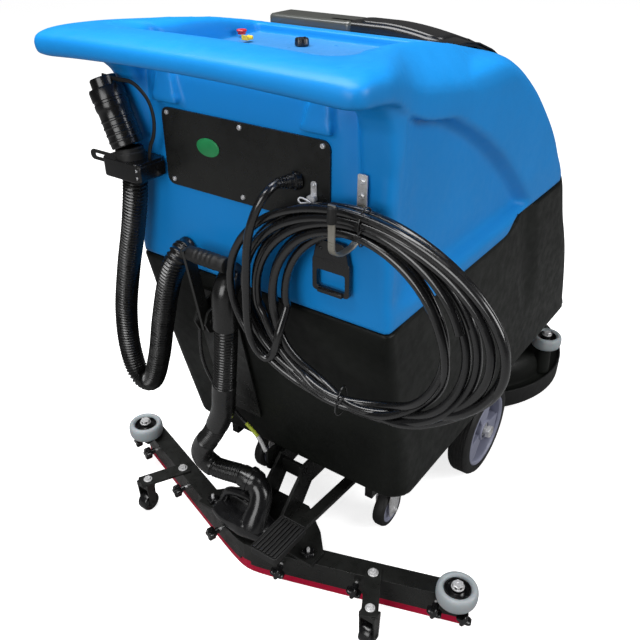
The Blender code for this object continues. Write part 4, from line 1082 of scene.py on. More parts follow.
def make_latch():
    """The pull latch: a wide top plate, a framed finger window below, and its keeper screws."""
    frame_outline = rounded((0.124, 0.61), (0.184, 0.662), 0.006)
    window = rounded((0.131, 0.617), (0.177, 0.643), 0.004)
    plate = ring_plate(frame_outline, window, "y", -0.466, -0.46)
    top = prism([(0.126, 0.66), (0.182, 0.66), (0.177, 0.684), (0.172, 0.6875), (0.136, 0.6875),
                 (0.131, 0.684)],
                "y", -0.4665, -0.459)
    lip = block((0.134, -0.469, 0.6095), (0.174, -0.4655, 0.615))
    rivet = [(0.0026, 0), (0.0026, 0.0012), (0.0018, 0.0019)]
    rivets = [turned(rivet, (x, -0.4664, 0.675), BACK, 14) for x in (0.138, 0.17)]
    piece("latch_frame", "latch", "black_moulding", plate, top, lip, *rivets, bevel=0.001,
          replaces="latch_handle")


# ======== cord ========


def coil_path():
    """The lead, then seven and a half turns that change places as they go round."""
    turns = len(COIL_RANKS)
    steps = 60
    phases = [(RANDOM.uniform(0, 6.28), RANDOM.uniform(0, 6.28)) for _ in range(turns + 1)]
    points = [Vector(p) for p in LEAD]
    for k in range((turns - 1) * steps + steps // 2):
        turn = k / steps
        lap = int(turn)
        part = turn - lap
        rank = COIL_RANKS[lap]
        following = COIL_RANKS[min(lap + 1, turns - 1)]
        rank += (following - rank) * smoothstep((part - 0.45) / 0.55)
        share = rank / (turns - 1)
        angle = COIL_START - 2 * math.pi * turn
        rightward = max(0.0, math.cos(angle))
        leftward = max(0.0, -math.cos(angle))
        sway = math.sin(0.9 * angle + phases[lap][0]) * smoothstep(turn * 3)
        drift_x = (0.0035 + 0.0045 * rightward) * sway
        drift_z = 0.003 * math.sin(1.3 * angle + phases[0][1])
        bulge = 0.01 * share * leftward + (0.008 + 0.026 * share) * rightward
        points.append(Vector((
            CORD_CENTRE[0] + (COIL_INNER[0] + COIL_BAND[0] * share + drift_x + bulge) * math.cos(angle),
            CORD_CENTRE[1] + COIL_LAYER * math.cos(math.pi * rank),
            CORD_CENTRE[2] + (COIL_INNER[1] + COIL_BAND[1] * share + drift_z) * math.sin(angle),
        )))
    return smooth_path(points, 0.006)


def wire_tie(angle, tail):
    """A wire loop round the bundle at that angle, with its twisted end standing off."""
    slack = 0.009
    half = COIL_BAND[1] / 2 + slack
    half_depth = 0.0135
    direction = Vector((math.cos(angle), 0, math.sin(angle)))
    centre = Vector(CORD_CENTRE) + direction * (COIL_INNER[1] + COIL_BAND[1] / 2)
    loop = []
    for turn in around(40):
        offset = Vector((0.0012 * math.sin(turn * 2), half_depth * math.sin(turn), 0))
        loop.append(centre + direction * half * math.cos(turn) + offset)
    start = centre - Vector((0, half_depth, 0)) - direction * half * 0.2
    twist = [start, start + Vector((0.004, -0.004, 0.004)) * tail,
             start + Vector((0.01, -0.006, 0.012)) * tail]
    return merged(pipe(loop, 0.0012, 8, closed=True), pipe(smooth_path(twist, 0.002), 0.0012, 8))


def make_cord():
    piece("power_cord_coil", "machine", "cord_jacket", pipe(coil_path(), CORD_RADIUS, 14),
          slot="black_moulding", replaces="power_cord", sharp=80)
    piece("coil_ties", "machine", "cord_jacket",
          wire_tie(math.radians(84), 0.8), wire_tie(math.radians(-96), 2.0),
          slot="black_moulding", sharp=80)
    ridges = [(NEAR_ZERO, -0.004), (0.0125, -0.004), (0.0125, 0.004), (0.01, 0.006), (0.0098, 0.012)]
    for k in range(4):
        crest = 0.0088 - 0.0006 * k
        level = 0.0125 + 0.004 * k
        ridges += [(crest, level), (crest, level + 0.0025), (0.0074 - 0.0005 * k, level + 0.003)]
    ridges += [(0.006, 0.029), (NEAR_ZERO, 0.029)]
    piece("cord_gland_body", "machine", "black_moulding",
          turned(ridges, (0.0945, -0.459, 0.757), (-0.0135, -0.022, 0), 24),
          replaces="cord_gland")


# ======== hoses ========


def make_drain_hose():
    """The ribbed hose, its cuff and stepped cap with a tether."""
    piece("drain_hose_ribbed", "machine", "hose_black", ribbed(DRAIN_PATH, 0.003),
          slot="black_moulding", replaces="drain_hose", sharp=80)
    cuff = [(0.0205, 0), (0.0225, 0.002), (0.0225, 0.03), (0.0208, 0.032), (0.0208, 0.036),
            (0.019, 0.038)]
    piece("drain_hose_cuff", "machine", "black_rubber",
          turned([(NEAR_ZERO, 0)] + cuff + [(NEAR_ZERO, 0.038)], (-0.1875, -0.487, 0.719), (-0.15, 0, 1),
                 32))
    cap = [(NEAR_ZERO, 0), (0.0228, 0), (0.024, 0.0015)]
    for k in range(4):
        base = 0.008 + 0.01 * k
        cap += [(0.0241, base), (0.025, base + 0.0012), (0.025, base + 0.003), (0.0241, base + 0.0042)]
    cap += [
        (0.0241, 0.052), (0.025, 0.055), (0.0256, 0.058), (0.0255, 0.064), (0.0245, 0.065),
        (0.0245, 0.068),
        (0.0258, 0.069), (0.0258, 0.083), (0.0245, 0.086), (0.0195, 0.0865), (0.019, 0.0985),
        (0.0175, 0.1),
        (NEAR_ZERO, 0.1),
    ]
    piece("drain_cap_body", "drain_cap", "black_moulding", turned(cap, CAP_BASE, CAP_AXIS, 40),
          replaces="drain_cap", sharp=30)
    axis = Vector(CAP_AXIS).normalized()
    top = Vector(CAP_BASE) + axis * 0.094
    strap = [
        top + Vector((-0.002, 0.001, 0.008)), (-0.2, -0.485, 0.852), (-0.172, -0.483, 0.85),
        (-0.149, -0.481, 0.832), (-0.141, -0.48, 0.808), (-0.145, -0.479, 0.782), (-0.157, -0.478, 0.76),
        (-0.163, -0.477, 0.742),
    ]
    path = smooth_path(strap, 0.003)
    piece("drain_cap_tether", "machine", "black_rubber",
          sweep(path, lambda k: oval(0.006, 0.0026, 3, 12), up=Vector((0, 1, 0))), sharp=80)


def make_hose_clip():
    """The block that holds the drain hose to the rear wall, with its slotted tab."""
    clip_band = ring_plate(rounded((-0.23, -0.512), (-0.152, -0.456), 0.01, 7),
                           rounded((-0.2105, -0.5075), (-0.1695, -0.4665), 0.0204, 7), "z", 0.714, 0.742)
    ears = [block((-0.166, -0.5085, 0.716), (-0.15, -0.459, 0.738)),
            block((-0.232, -0.506, 0.7205), (-0.2215, -0.4585, 0.736))]
    piece("hose_clip_band", "machine", "black_moulding", clip_band, *ears, bevel=0.0012,
          slot="black_moulding",
          replaces="hose_clip")
    tab = ring_plate(rounded((-0.318, 0.7085), (-0.22, 0.725), 0.008, 6),
                     rounded((-0.308, 0.7135), (-0.268, 0.72), 0.0032, 6),
                     "y", -0.4625, -0.4595)
    piece("hose_clip_tab", "machine", "black_steel", tab, bevel=0.0005)
    piece("hose_clip_screws", "machine", "zinc_steel",
          screw_head((-0.158, -0.5088, 0.7325), BACK, 0.003),
          screw_head((-0.158, -0.5088, 0.7215), BACK, 0.003))


def make_suction_hose():
    """The hose from the fan to the squeegee, fixed in place and riding on no body."""
    hose = piece("suction_hose_run", "machine", "hose_black",
                 ribbed(SUCTION_PATH, 0.0019, SUCTION_RIBS, HOSE_RADIUS + 0.0012), slot="black_moulding",
                 replaces="suction_hose", sharp=80, ride=False)
    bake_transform(hose)


# ======== wheels and rollers ========


def side_of(suffix):
    return 1 if suffix == "R" else -1


def on_side(place, side):
    """A place given for the right side, on that side."""
    return place[0] * side, place[1], place[2]


def make_wheel(suffix):
    side = side_of(suffix)
    width = WHEEL_OUT - WHEEL_IN
    start = (WHEEL_IN * side, 0, WHEEL_RADIUS)
    axis = (side, 0, 0)
    tread = [(0.0797, 0.001), (0.088, 0.0002), (0.0945, 0.002), (0.0985, 0.0065)]
    for k in range(4):
        level = 0.0105 + 0.0068 * k
        tread += [(0.1, level), (0.1, level + 0.003), (0.0984, level + 0.0036),
                  (0.0984, level + 0.006)]
    tread += [(0.1, 0.0375), (0.0985, width - 0.0055), (0.0945, width - 0.0015), (0.088, width),
              (0.0797, width - 0.001)]
    name = f"wheel_{suffix}"
    tyre = turned_ring(tread, start, axis, 96)
    piece(f"tyre_{suffix}_treaded", name, "tyre_rubber", tyre, replaces=f"tyre_{suffix}", sharp=40)
    rim = [
        (0.0793, 0.002), (0.0793, width - 0.002), (0.077, width - 0.0005), (0.0735, width - 0.0005),
        (0.07, width - 0.0045), (0.069, 0.012), (0.069, 0.002),
    ]
    disc = [(0.01, 0.01), (0.07, 0.01), (0.07, 0.016), (0.01, 0.016)]
    boss = [
        (0.0095, 0.001), (0.02, 0.001), (0.0225, 0.02), (0.0235, width - 0.006),
        (0.022, width - 0.0035),
        (0.0165, width - 0.0035), (0.015, width - 0.008), (0.0095, width - 0.008),
    ]
    spokes = []
    for k in range(3):
        middle = 2 * math.pi * k / 3 + math.radians(95)
        outline = []
        for radius, half in ((0.0215, 0.012), (0.07, 0.029)):
            spread_angle = math.asin(half / radius)
            steps = 6
            for i in range(steps + 1):
                a = middle + spread_angle * (2 * i / steps - 1) * (1 if radius > 0.05 else -1)
                outline.append((radius * math.cos(a), radius * math.sin(a) + WHEEL_RADIUS))
        low = (WHEEL_IN + 0.013) * side
        high = (WHEEL_IN + width - 0.0075) * side
        spokes.append(prism(outline, "x", min(low, high), max(low, high)))
    piece(f"wheel_hub_{suffix}_spoked", name, "hub_grey",
          turned_ring(rim, start, axis, 96), turned_ring(disc, start, axis, 64),
          turned_ring(boss, start, axis, 48), *spokes,
          bevel=0.001, replaces=f"wheel_hub_{suffix}", sharp=30)
    outer = (WHEEL_IN + width - 0.0078) * side
    piece(f"wheel_washer_{suffix}", "machine", "zinc_steel",
          turned_ring([(0.01, 0), (0.0145, 0), (0.0145, 0.0016), (0.01, 0.0016)],
                      (outer, 0, WHEEL_RADIUS), axis, 32),
          bevel=0.0003)


def make_caster(suffix):
    side = side_of(suffix)
    swivel = Vector((CASTER_X * side, -0.225, 0))
    hub = Vector((CASTER_X * side, CASTER_Y, CASTER_Z))
    cheek = [(-0.013, CASTER_Z - 0.011), (0.013, CASTER_Z - 0.011), (0.018, CASTER_Z + 0.01),
             (0.034, 0.09), (0.034, 0.0985), (-0.006, 0.0985), (-0.018, 0.07)]
    shapes = []
    for x in (-0.015, 0.015):
        outline = [(y + CASTER_Y, z) for y, z in cheek]
        shapes.append(prism(outline, "x", hub.x + x - 0.0014, hub.x + x + 0.0014))
    shapes.append(prism(rounded((hub.x - 0.0165, CASTER_Y - 0.004), (hub.x + 0.0165, CASTER_Y + 0.05),
                                0.008), "z", 0.095, 0.0985))
    shapes.append(turned([(NEAR_ZERO, 0.096), (0.0215, 0.096), (0.0235, 0.0975), (0.0235, 0.1005),
                          (0.0215, 0.1025), (NEAR_ZERO, 0.103)],
                         (swivel.x, swivel.y, 0), UP, 40))
    piece(f"caster_fork_{suffix}_pressed", f"caster_fork_{suffix}", "zinc_steel", *shapes, bevel=0.0006,
          replaces=f"caster_fork_{suffix}")
    piece(f"caster_axle_{suffix}", f"caster_fork_{suffix}", "zinc_steel",
          turned([(0.003, -0.0215), (0.003, 0.0215)], hub, RIGHT, 16),
          hex_bolt(hub + Vector((0.0166, 0, 0)), RIGHT, 0.006, 0.0045),
          hex_bolt(hub - Vector((0.0166, 0, 0)), (-1, 0, 0), 0.006, 0.0045))
    half = CASTER_HALF
    tyre = [
        (0.029, -half + 0.001), (0.033, -half), (0.037, -half + 0.0016), (0.0392, -half + 0.0055),
        (CASTER_RADIUS, 0),
        (0.0392, half - 0.0055), (0.037, half - 0.0016), (0.033, half), (0.029, half - 0.001),
    ]
    piece(f"caster_wheel_{suffix}_tyre", f"caster_wheel_{suffix}", "tyre_rubber",
          turned_ring(tyre, hub, RIGHT, 64),
          slot="grey_roller", sharp=40)
    core = [
        (0.004, -half + 0.0005), (0.01, -half + 0.0005), (0.0125, -half + 0.003),
        (0.023, -half + 0.0045),
        (0.0262, -half + 0.0008), (0.0288, -half + 0.0008), (0.0288, half - 0.0008),
        (0.0262, half - 0.0008),
        (0.023, half - 0.0045), (0.0125, half - 0.003), (0.01, half - 0.0005), (0.004, half - 0.0005),
    ]
    piece(f"caster_wheel_{suffix}_core", f"caster_wheel_{suffix}", "hub_grey",
          turned_ring(core, hub, RIGHT, 64),
          slot="grey_roller", replaces=f"caster_wheel_{suffix}", sharp=30)


def make_roller(name, body, carrier, centre):
    """A soft grey bumper tyre on a dished black hub, under a zinc bolt that stays with its bracket."""
    tyre = [
        (0.0283 + 0.0067 * signed_power(math.cos(angle), 0.8),
         ROLLER_HEIGHT / 2 * (1 + 0.99 * signed_power(math.sin(angle), 0.8)))
        for angle in around(32)
    ]
    piece(f"{name}_tyre", body, "grey_roller", turned_ring(tyre, centre, UP, 72), sharp=50)
    hub = [
        (0.0052, 0.003), (0.0218, 0.003), (0.0226, 0.006), (0.0226, 0.0245), (0.0214, 0.0268),
        (0.0203, 0.0262),
        (0.0185, 0.0205), (0.015, 0.019), (0.0125, 0.021), (0.0105, 0.0228), (0.0052, 0.023),
    ]
    piece(f"{name}_hub", body, "black_moulding", turned_ring(hub, centre, UP, 56), slot="grey_roller",
          replaces=name, sharp=30)
    piece(f"{name}_bolt", carrier, "zinc_steel", hex_bolt(
        Vector(centre) + Vector((0, 0, ROLLER_HEIGHT)), UP, 0.0098, 0.0068, washer=1.12))


def make_running_gear():
    for suffix in ("R", "L"):
        side = side_of(suffix)
        make_wheel(suffix)
        make_caster(suffix)
        make_roller(f"side_roller_{suffix}", f"side_roller_{suffix}", "squeegee",
                    on_side(SIDE_ROLLER, side))
        make_roller(f"bumper_roller_{suffix}", f"bumper_roller_{suffix}", "deck",
                    on_side(BUMPER_ROLLER, side))
        make_support_wheel(suffix)


def make_support_wheel(suffix):
    side = side_of(suffix)
    centre = on_side(SUPPORT_WHEEL, side)
    low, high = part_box(f"support_wheel_{suffix}")
    half = (high.x - low.x) / 2
    profile = [
        (0.0035, -half), (0.009, -half), (0.0105, -half + 0.002), (0.014, -half + 0.0024),
        (0.016, -half + 0.0004),
        (0.0182, -half + 0.0006), (SUPPORT_RADIUS, -half + 0.0035), (SUPPORT_RADIUS, half - 0.0035),
        (0.0182, half - 0.0006), (0.016, half - 0.0004), (0.014, half - 0.0024),
        (0.0105, half - 0.002), (0.009, half), (0.0035, half),
    ]
    piece(f"support_wheel_{suffix}_moulded", f"support_wheel_{suffix}", "black_moulding",
          turned_ring(profile, centre, RIGHT, 48),
          replaces=f"support_wheel_{suffix}", sharp=30)


# ======== squeegee ========


def v_line(x):
    """y of the squeegee bar's rear face at x: two straight arms with a rounded point."""
    return V_APEX_Y - V_ROUNDING + math.hypot(V_ROUNDING, V_SLOPE * x)


def star_knob(x, z=0.048, stand_off=0.028):
    """A four-winged clamping knob on a stud, behind the bar at x."""
    slope = V_SLOPE * x / math.hypot(V_ROUNDING / V_SLOPE, x) if x else 0
    back = Vector((slope, -1, 0)).normalized()
    foot = Vector((x, v_line(x), z))
    centre = foot + back * stand_off
    turn = turn_to(back)
    levels = ((-0.0075, 0.84), (-0.006, 1.0), (0.0045, 1.0), (0.0065, 0.82))
    rings = lobed(levels, 0.0098, 0.0034, 4, lambda point: centre + turn @ point, 48)
    neck = turned([(0.0062, 0), (0.005, 0.009)], centre - back * 0.0155, back, 20)
    stud = turned([(0.0028, 0), (0.0028, 0.019)], foot + back * 0.0055, back, 12)
    return merged(tube(rings), neck), stud


def make_squeegee():
    knobs = []
    studs = []
    for x in (0.07, 0.201, 0.332, 0.3785):
        for side in (1, -1):
            knob, stud = star_knob(x * side)
            knobs.append(knob)
            studs.append(stud)
    piece("blade_clamp_knobs", "squeegee", "black_moulding", *knobs, slot="black_moulding", sharp=40)
    piece("blade_clamp_studs", "squeegee", "zinc_steel", *studs)
    bolts = []
    for side in (1, -1):
        bolts.append(hex_bolt((0.226 * side, -0.434, 0.0738), UP, 0.0068, 0.0055))
        bolts.append(hex_bolt((0.2595 * side, -0.4975, 0.0738), UP, 0.0062, 0.005))
        bolts.append(hex_bolt((0.06 * side, -0.43, 0.0753), UP, 0.005, 0.004))
    piece("squeegee_bolts", "squeegee", "zinc_steel", *bolts)
    for suffix in ("R", "L"):
        side = side_of(suffix)
        wing = wing_knob((0.1125 * side, -0.467, 0.0752))
        piece(f"mount_knob_{suffix}_winged", f"mount_knob_{suffix}", "black_moulding", wing,
              replaces=f"mount_knob_{suffix}", sharp=40)
        piece(f"mount_stud_{suffix}", "squeegee", "zinc_steel",
              turned([(0.003, 0.069), (0.003, 0.0905), (0.0024, 0.0915)], (0.1125 * side, -0.467, 0),
                     UP, 14))
    piece("blade_clamp_straps", "squeegee", "black_steel", clamp_strap(1), clamp_strap(-1), bevel=0.0004)
    make_nozzle()


def clamp_strap(side):
    """The thin strap that the knobs press against the blade, on one arm of the V."""
    rings = []
    for k in range(31):
        x = (0.012 + 0.358 * k / 30) * side
        y = v_line(x)
        corners = ((y - 0.005, 0.02), (y - 0.005, 0.03), (y - 0.0022, 0.03), (y - 0.0022, 0.02))
        rings.append(lifted(corners, "x", x))
    return tube(rings)


def wing_knob(base):
    """A round hand nut with five lobes, hollow through the middle for its stud."""
    levels = ((0.0, 0.9), (0.0012, 1.0), (0.0068, 1.0), (0.0084, 0.86))
    rings = lobed(levels, 0.0108, 0.0016, 5, lambda point: Vector(base) + point, 60)
    bore = lobed(((0.0084, 1.0), (0.0, 1.0)), 0.0036, 0, 1, lambda point: Vector(base) + point, 60)
    return tube(rings + bore, closed=True)


def make_nozzle():
    """The suction shoe: a low hood over the bar, a curved outlet pipe and the strut beside it."""
    rings = []
    stations = 22
    for k in range(stations + 1):
        t = k / stations
        s = 2 * t - 1
        x = -0.028 + 0.074 * s
        end = math.sqrt(max(0.0, 1 - abs(s) ** 3.2))
        top = 0.08 + 0.04 * end * (0.55 + 0.45 * math.exp(-(x / 0.034) ** 2))
        half = 0.01 + 0.02 * end
        middle = -0.485 + 0.35 * abs(x + 0.01) * 0.5
        ring = []
        for angle in around(24):
            height = HOOD_FOOT + (top - HOOD_FOOT) * (0.5 + 0.5 * signed_power(math.sin(angle), 0.7))
            ring.append(Vector((x, middle + half * signed_power(math.cos(angle), 0.7), height)))
        rings.append(ring)
    hood = tube(rings)
    elbow = smooth_path([
        (-0.03, -0.4535, 0.1665), (-0.014, -0.4525, 0.162), (0.000, -0.457, 0.15),
        (0.006, -0.468, 0.134),
        (0.006, -0.479, 0.116), (0.005, -0.489, 0.096),
    ], 0.004)
    count = len(elbow)

    def size(k):
        t = k / count
        collar = 0.003 if t < 0.16 else 0.0
        return 0.0205 + collar + 0.0045 * smoothstep((t - 0.55) / 0.4)

    pipe_part = pipe(elbow, size, 32)
    strut = pipe(smooth_path([
        (-0.086, -0.466, 0.092), (-0.074, -0.464, 0.118), (-0.05, -0.464, 0.13),
        (-0.022, -0.464, 0.134), (0.000, -0.467, 0.132),
    ], 0.004), 0.0085, 20)
    piece("nozzle_shoe", "squeegee", "black_moulding", hood, pipe_part, strut,
          replaces="nozzle", sharp=60)
    band = turned_ring([(0.0236, -0.0035), (0.025, -0.0035), (0.025, 0.0035), (0.0236, 0.0035)],
                       elbow[1], elbow[2] - elbow[0], 36)
    piece("nozzle_hose_band", "squeegee", "black_moulding", band, slot=SLOT_OF["nozzle"], bevel=0.0003)


# ======== deck and brush ========


def make_deck():
    outer = [
        (NEAR_ZERO, DECK_TOP - 0.0005), (0.15, DECK_TOP - 0.0005), (0.156, DECK_TOP - 0.0035),
        (0.172, DECK_TOP - 0.0035),
        (0.178, DECK_TOP - 0.0008), (0.196, DECK_TOP - 0.003), (0.212, DECK_TOP - 0.011),
        (0.223, DECK_TOP - 0.025),
        (0.2275, 0.078), (0.2285, 0.062), (0.232, 0.0545), (0.24, 0.0515), (0.2475, 0.0505),
        (0.248, 0.048),
        (0.247, 0.0462), (0.225, 0.0462), (0.222, 0.052), (0.2215, 0.078), (0.217, 0.095),
        (0.206, 0.105),
        (0.19, 0.1095), (NEAR_ZERO, 0.11),
    ]
    brackets = []
    for side in (1, -1):
        x = BUMPER_ROLLER[0] * side
        brackets.append(turned([(NEAR_ZERO, 0.058), (0.023, 0.058), (0.0215, 0.075), (0.019, 0.118),
                                (0.0175, 0.1262), (NEAR_ZERO, 0.127)],
                               (x - 0.004 * side, BUMPER_ROLLER[1], 0), UP, 40))
        low, high = sorted((0.17 * side, (abs(x) - 0.006) * side))
        brackets.append(prism(rounded((low, 0.334), (high, 0.366), 0.006), "z", 0.1, 0.1235))
    lugs = []
    for side in (1, -1):
        low, high = sorted((0.11 * side, 0.116 * side))
        outline = [(0.176, 0.112), (0.224, 0.112), (0.214, 0.15), (0.208, 0.16), (0.2, 0.1625),
                   (0.192, 0.16), (0.186, 0.15)]
        lugs.append(prism(outline, "x", low, high))
    piece("deck_bowl", "deck", "black_polyethylene", turned(outer[::-1], (0, DECK_Y, 0), UP, 128),
          *brackets, replaces="deck_housing", sharp=35)
    piece("deck_lugs", "deck", "black_steel", *lugs, bevel=0.0006)
    skirt = [
        (0.2492, 0.012), (0.252, 0.0115), (0.2538, 0.0135), (0.2542, 0.03), (0.2545, 0.054),
        (0.2538, 0.0572),
        (0.2522, 0.058), (0.2503, 0.0572), (0.2492, 0.054),
    ]
    piece("deck_skirt_lipped", "deck", "black_rubber", turned_ring(skirt, (0, DECK_Y, 0), UP, 144),
          replaces="deck_skirt", sharp=40)
    motor = [
        (NEAR_ZERO, 0.119), (0.06, 0.119), (0.06, 0.13), (0.0565, 0.132), (0.0565, 0.15),
        (0.058, 0.151),
        (0.058, 0.156), (0.052, 0.158),
    ]
    for k in range(8):
        level = 0.16 + 0.0115 * k
        motor += [(0.052, level), (0.052, level + 0.007), (0.0495, level + 0.008),
                  (0.0495, level + 0.0105)]
    motor += [(0.052, 0.254), (0.0515, 0.268), (0.045, 0.2745), (NEAR_ZERO, 0.275)]
    piece("brush_motor_finned", "deck", "motor_casing", turned(motor, (0, DECK_Y, 0), UP, 56),
          replaces="brush_motor", sharp=30)
    make_brush()


def make_brush():
    """A moulded ring with rows of splayed bristle tufts."""
    ring = [(0.09, 0.03), (0.205, 0.03), (0.205, 0.0435), (0.203, 0.0445), (0.092, 0.0445),
            (0.09, 0.0435)]
    tufts = []
    for row in range(9):
        radius = 0.0965 + 0.0128 * row
        count = int(2 * math.pi * radius / 0.0125)
        for k in range(count):
            angle = 2 * math.pi * (k + 0.5 * (row % 2)) / count
            splay = 0.0035 * (row - 4) / 4 + RANDOM.uniform(-0.0012, 0.0012)
            direction = Vector((math.cos(angle), math.sin(angle), 0))
            root = Vector((0, DECK_Y, 0.0305)) + direction * radius
            tip = Vector((0, DECK_Y, 0.0032)) + direction * (radius + splay)
            sections = ((root, 0.0026), (root.lerp(tip, 0.5), 0.0033), (tip, 0.0044))
            tufts.append(tube([
                [centre + size * Vector((math.cos(a), math.sin(a), 0)) for a in around(6)]
                for centre, size in sections
            ]))
    piece("brush_block", "brush", "black_moulding", turned_ring(ring, (0, DECK_Y, 0), UP, 96),
          slot="blue_bristle", sharp=30)
    piece("brush_tufts", "brush", "blue_bristle", *tufts, replaces="brush", sharp=50)


# ======== pedal and lift lever ========


def place_on(node):
    """(centre x, centre y, underside) of a CAD node's box, in the axle frame."""
    low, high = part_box(node)
    return (low.x + high.x) / 2, (low.y + high.y) / 2 - SHIFT.y, low.z


def make_console():
    """The mushroom button, the rocker and the fluted knob with its pointer."""
    x, y, low = place_on("power_button")
    cap = [(NEAR_ZERO, 0), (0.0062, 0), (0.0062, 0.0034), (0.0078, 0.004), (0.0082, 0.0056),
           (0.007, 0.007), (NEAR_ZERO, 0.0076)]
    piece("power_button_mushroom", "power_button", "signal_red", turned(cap, (x, y, low), UP, 36),
          replaces="power_button", sharp=40)
    x, y, low = place_on("run_switch")
    half = 0.0075
    rocker = [
        (y - half, low), (y + half, low), (y + half, low + 0.0056), (y + half * 0.5, low + 0.004),
        (y, low + 0.0036),
        (y - half * 0.5, low + 0.005), (y - half, low + 0.0078),
    ]
    piece("run_switch_rocker", "run_switch", "yellow_plastic", prism(rocker, "x", x - 0.0055, x + 0.0055),
          replaces="run_switch", bevel=0.0006)
    x, y, low = place_on("water_knob")
    levels = ((0.0, 0.9), (0.0012, 1.0), (0.009, 0.94), (0.0104, 0.86))
    rings = lobed(levels, 0.0105, 0.0004, 12, lambda point: Vector((x, y, low)) + point, 72)
    pointer = block((x - 0.0008, y + 0.002, low + 0.0102), (x + 0.0008, y + 0.0085, low + 0.011))
    piece("water_knob_fluted", "water_knob", "black_moulding", tube(rings), pointer,
          replaces="water_knob", sharp=40)


def make_controls():
    """The ribbed foot pad, the tapered hand grip, the lift cable in its sleeve, and small fixings."""
    ribs = []
    pad_x = 0.088
    pad_y = -0.517
    for k in range(7):
        x = pad_x - 0.0213 + 0.0071 * k
        ribs.append(prism(rounded((x - 0.0024, pad_y - 0.04), (x + 0.0024, pad_y + 0.04), 0.0014, 3),
                          "z", 0.144, 0.1482))
    base = prism(rounded((pad_x - 0.027, pad_y - 0.044), (pad_x + 0.027, pad_y + 0.044), 0.006), "z",
                 0.135, 0.1448)
    rim = ring_plate(rounded((pad_x - 0.027, pad_y - 0.044), (pad_x + 0.027, pad_y + 0.044), 0.006),
                     rounded((pad_x - 0.0248, pad_y - 0.0418), (pad_x + 0.0248, pad_y + 0.0418), 0.004),
                     "z", 0.144, 0.1475)
    piece("pedal_pad_ribbed", "pedal", "black_rubber", base, rim, *ribs, bevel=0.0007,
          replaces="pedal_pad")
    grip = [(NEAR_ZERO, 0), (0.0098, 0), (0.0112, 0.0015), (0.0118, 0.012)]
    for k in range(5):
        level = 0.014 + 0.009 * k
        grip += [(0.0119, level), (0.0125, level + 0.0015), (0.0125, level + 0.0045),
                 (0.0119, level + 0.006)]
    grip += [(0.0122, 0.064), (0.0125, 0.068), (0.0112, 0.0735), (0.007, 0.075), (NEAR_ZERO, 0.075)]
    piece("lever_grip_moulded", "lift_lever", "black_rubber",
          turned(grip, (-0.082, -0.493, 0.617), RIGHT, 32),
          replaces="lever_grip", sharp=40)
    cable = [
        (-0.12, -0.45, 0.462), (-0.126, -0.446, 0.39), (-0.116, -0.434, 0.33), (-0.08, -0.418, 0.27),
        (-0.04, -0.412, 0.232), (-0.022, -0.412, 0.205),
    ]
    path = smooth_path(cable, 0.004)
    count = len(path)
    piece("lift_cable_sheath", "machine", "cord_jacket", pipe(path[:int(count * 0.8)], 0.0031, 12),
          replaces="lift_cable",
          slot="black_rubber", sharp=80)
    piece("lift_cable_sleeve", "machine", "cable_sleeve",
          pipe(path[int(count * 0.78):int(count * 0.9)], 0.0036, 12),
          slot="black_rubber", sharp=80)
    ferrule = path[int(count * 0.89):]
    piece("lift_cable_ferrule", "machine", "zinc_steel", pipe(ferrule, 0.004, 12), sharp=80)
    piece("lever_pivot_bolt", "lift_lever", "zinc_steel",
          hex_bolt((-0.0878, -0.47, 0.49), (-1, 0, 0), 0.0068, 0.005))


# ======== camera, light, floor ========


def camera_only(tree):
    """1 for what the camera sees directly, 0 for light that bounces."""
    return tree.nodes.new("ShaderNodeLightPath").outputs["Is Camera Ray"]


def make_world():
    world = bpy.data.worlds.new("studio")
    world.use_nodes = True
    tree = world.node_tree
    background = tree.nodes["Background"]
    background.inputs["Color"].default_value = (1, 1, 1, 1)
    mirrored_ray = tree.nodes.new("ShaderNodeLightPath").outputs["Is Glossy Ray"]
    soft = spread(tree, mirrored_ray, AMBIENT, AMBIENT_MIRRORED, 0, 1)
    glare = tree.nodes.new("ShaderNodeMath")
    glare.operation = "MAXIMUM"
    tree.links.new(soft, glare.inputs[0])
    tree.links.new(camera_only(tree), glare.inputs[1])
    tree.links.new(glare.outputs[0], background.inputs["Strength"])
    return world


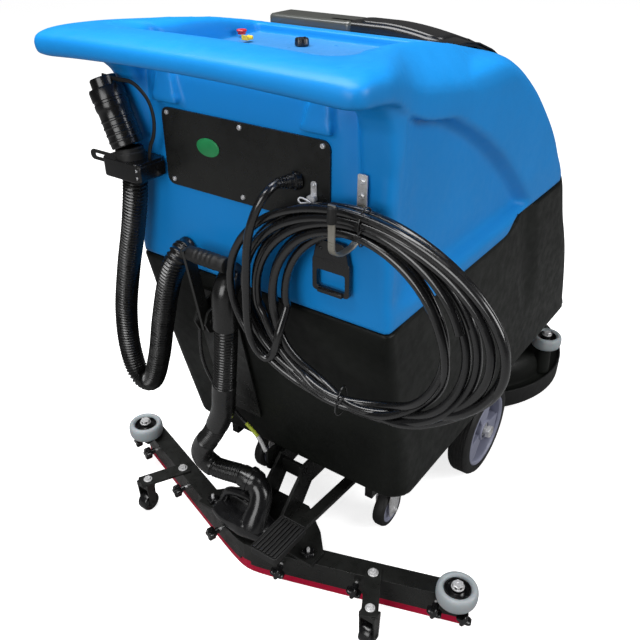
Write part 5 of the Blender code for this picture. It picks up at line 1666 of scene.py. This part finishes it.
def make_floor():
    """A plain pale floor; a little glow towards the camera keeps it as pale as the background."""
    look = surface_look("floor", (0.9, 0.9, 0.9), 0.7, mottle=0.01, mottle_scale=2, grain=200,
                        grain_depth=0.00005, specular=0.1)
    tree = look.node_tree
    shader = next(node for node in tree.nodes if node.type == "BSDF_PRINCIPLED")
    seen = shader.inputs["Base Color"].links[0].from_socket
    tree.links.new(mixed(tree, camera_only(tree), FLOOR_BOUNCE, seen), shader.inputs["Base Color"])
    shader.inputs["Emission Color"].default_value = (1, 1, 1, 1)
    tree.links.new(spread(tree, camera_only(tree), 0, FLOOR_GLOW, 0, 1), shader.inputs["Emission Strength"])
    corners = [Vector((x, y, 0)) for x, y in ((-9, -9), (9, -9), (9, 9), (-9, 9))]
    floor = bpy.data.objects.new("floor", mesh_from("floor", (corners, [(0, 1, 2, 3)])))
    floor.data.materials.append(look)
    bpy.context.scene.collection.objects.link(floor)


def make_studio():
    scene = bpy.context.scene
    scene.view_settings.view_transform = "Standard"
    scene.world = make_world()
    make_floor()
    for name, place, target, size, power in LAMPS:
        data = bpy.data.lights.new(name, "AREA")
        data.shape = "SQUARE"
        data.size = size
        data.energy = power
        lamp = bpy.data.objects.new(name, data)
        lamp.location = place
        lamp.rotation_euler = (Vector(target) - Vector(place)).to_track_quat("-Z", "Y").to_euler()
        scene.collection.objects.link(lamp)
    camera_data = bpy.data.cameras.new("camera")
    camera_data.lens = CAMERA_LENS
    camera_data.sensor_width = 36
    camera = bpy.data.objects.new("camera", camera_data)
    camera.location = Vector(CAMERA_PLACE) + SHIFT
    camera.rotation_euler = [math.radians(angle) for angle in CAMERA_TURN]
    scene.collection.objects.link(camera)
    scene.camera = camera


def dress_cad_nodes():
    for name, node in frame["nodes"].items():
        look = LOOKS[SLOT_OF[name]]
        if not node.data.materials:
            node.data.materials.append(look)
        for k in range(len(node.material_slots)):
            node.material_slots[k].material = look
        node.data.set_sharp_from_angle(angle=math.radians(32))


dress_cad_nodes()
make_recovery_tank()
make_solution_tank()
make_lid()
make_cover_details()
make_cord_hook()
make_latch()
make_cord()
make_drain_hose()
make_hose_clip()
make_suction_hose()
make_running_gear()
make_squeegee()
make_deck()
make_console()
make_controls()
make_studio()
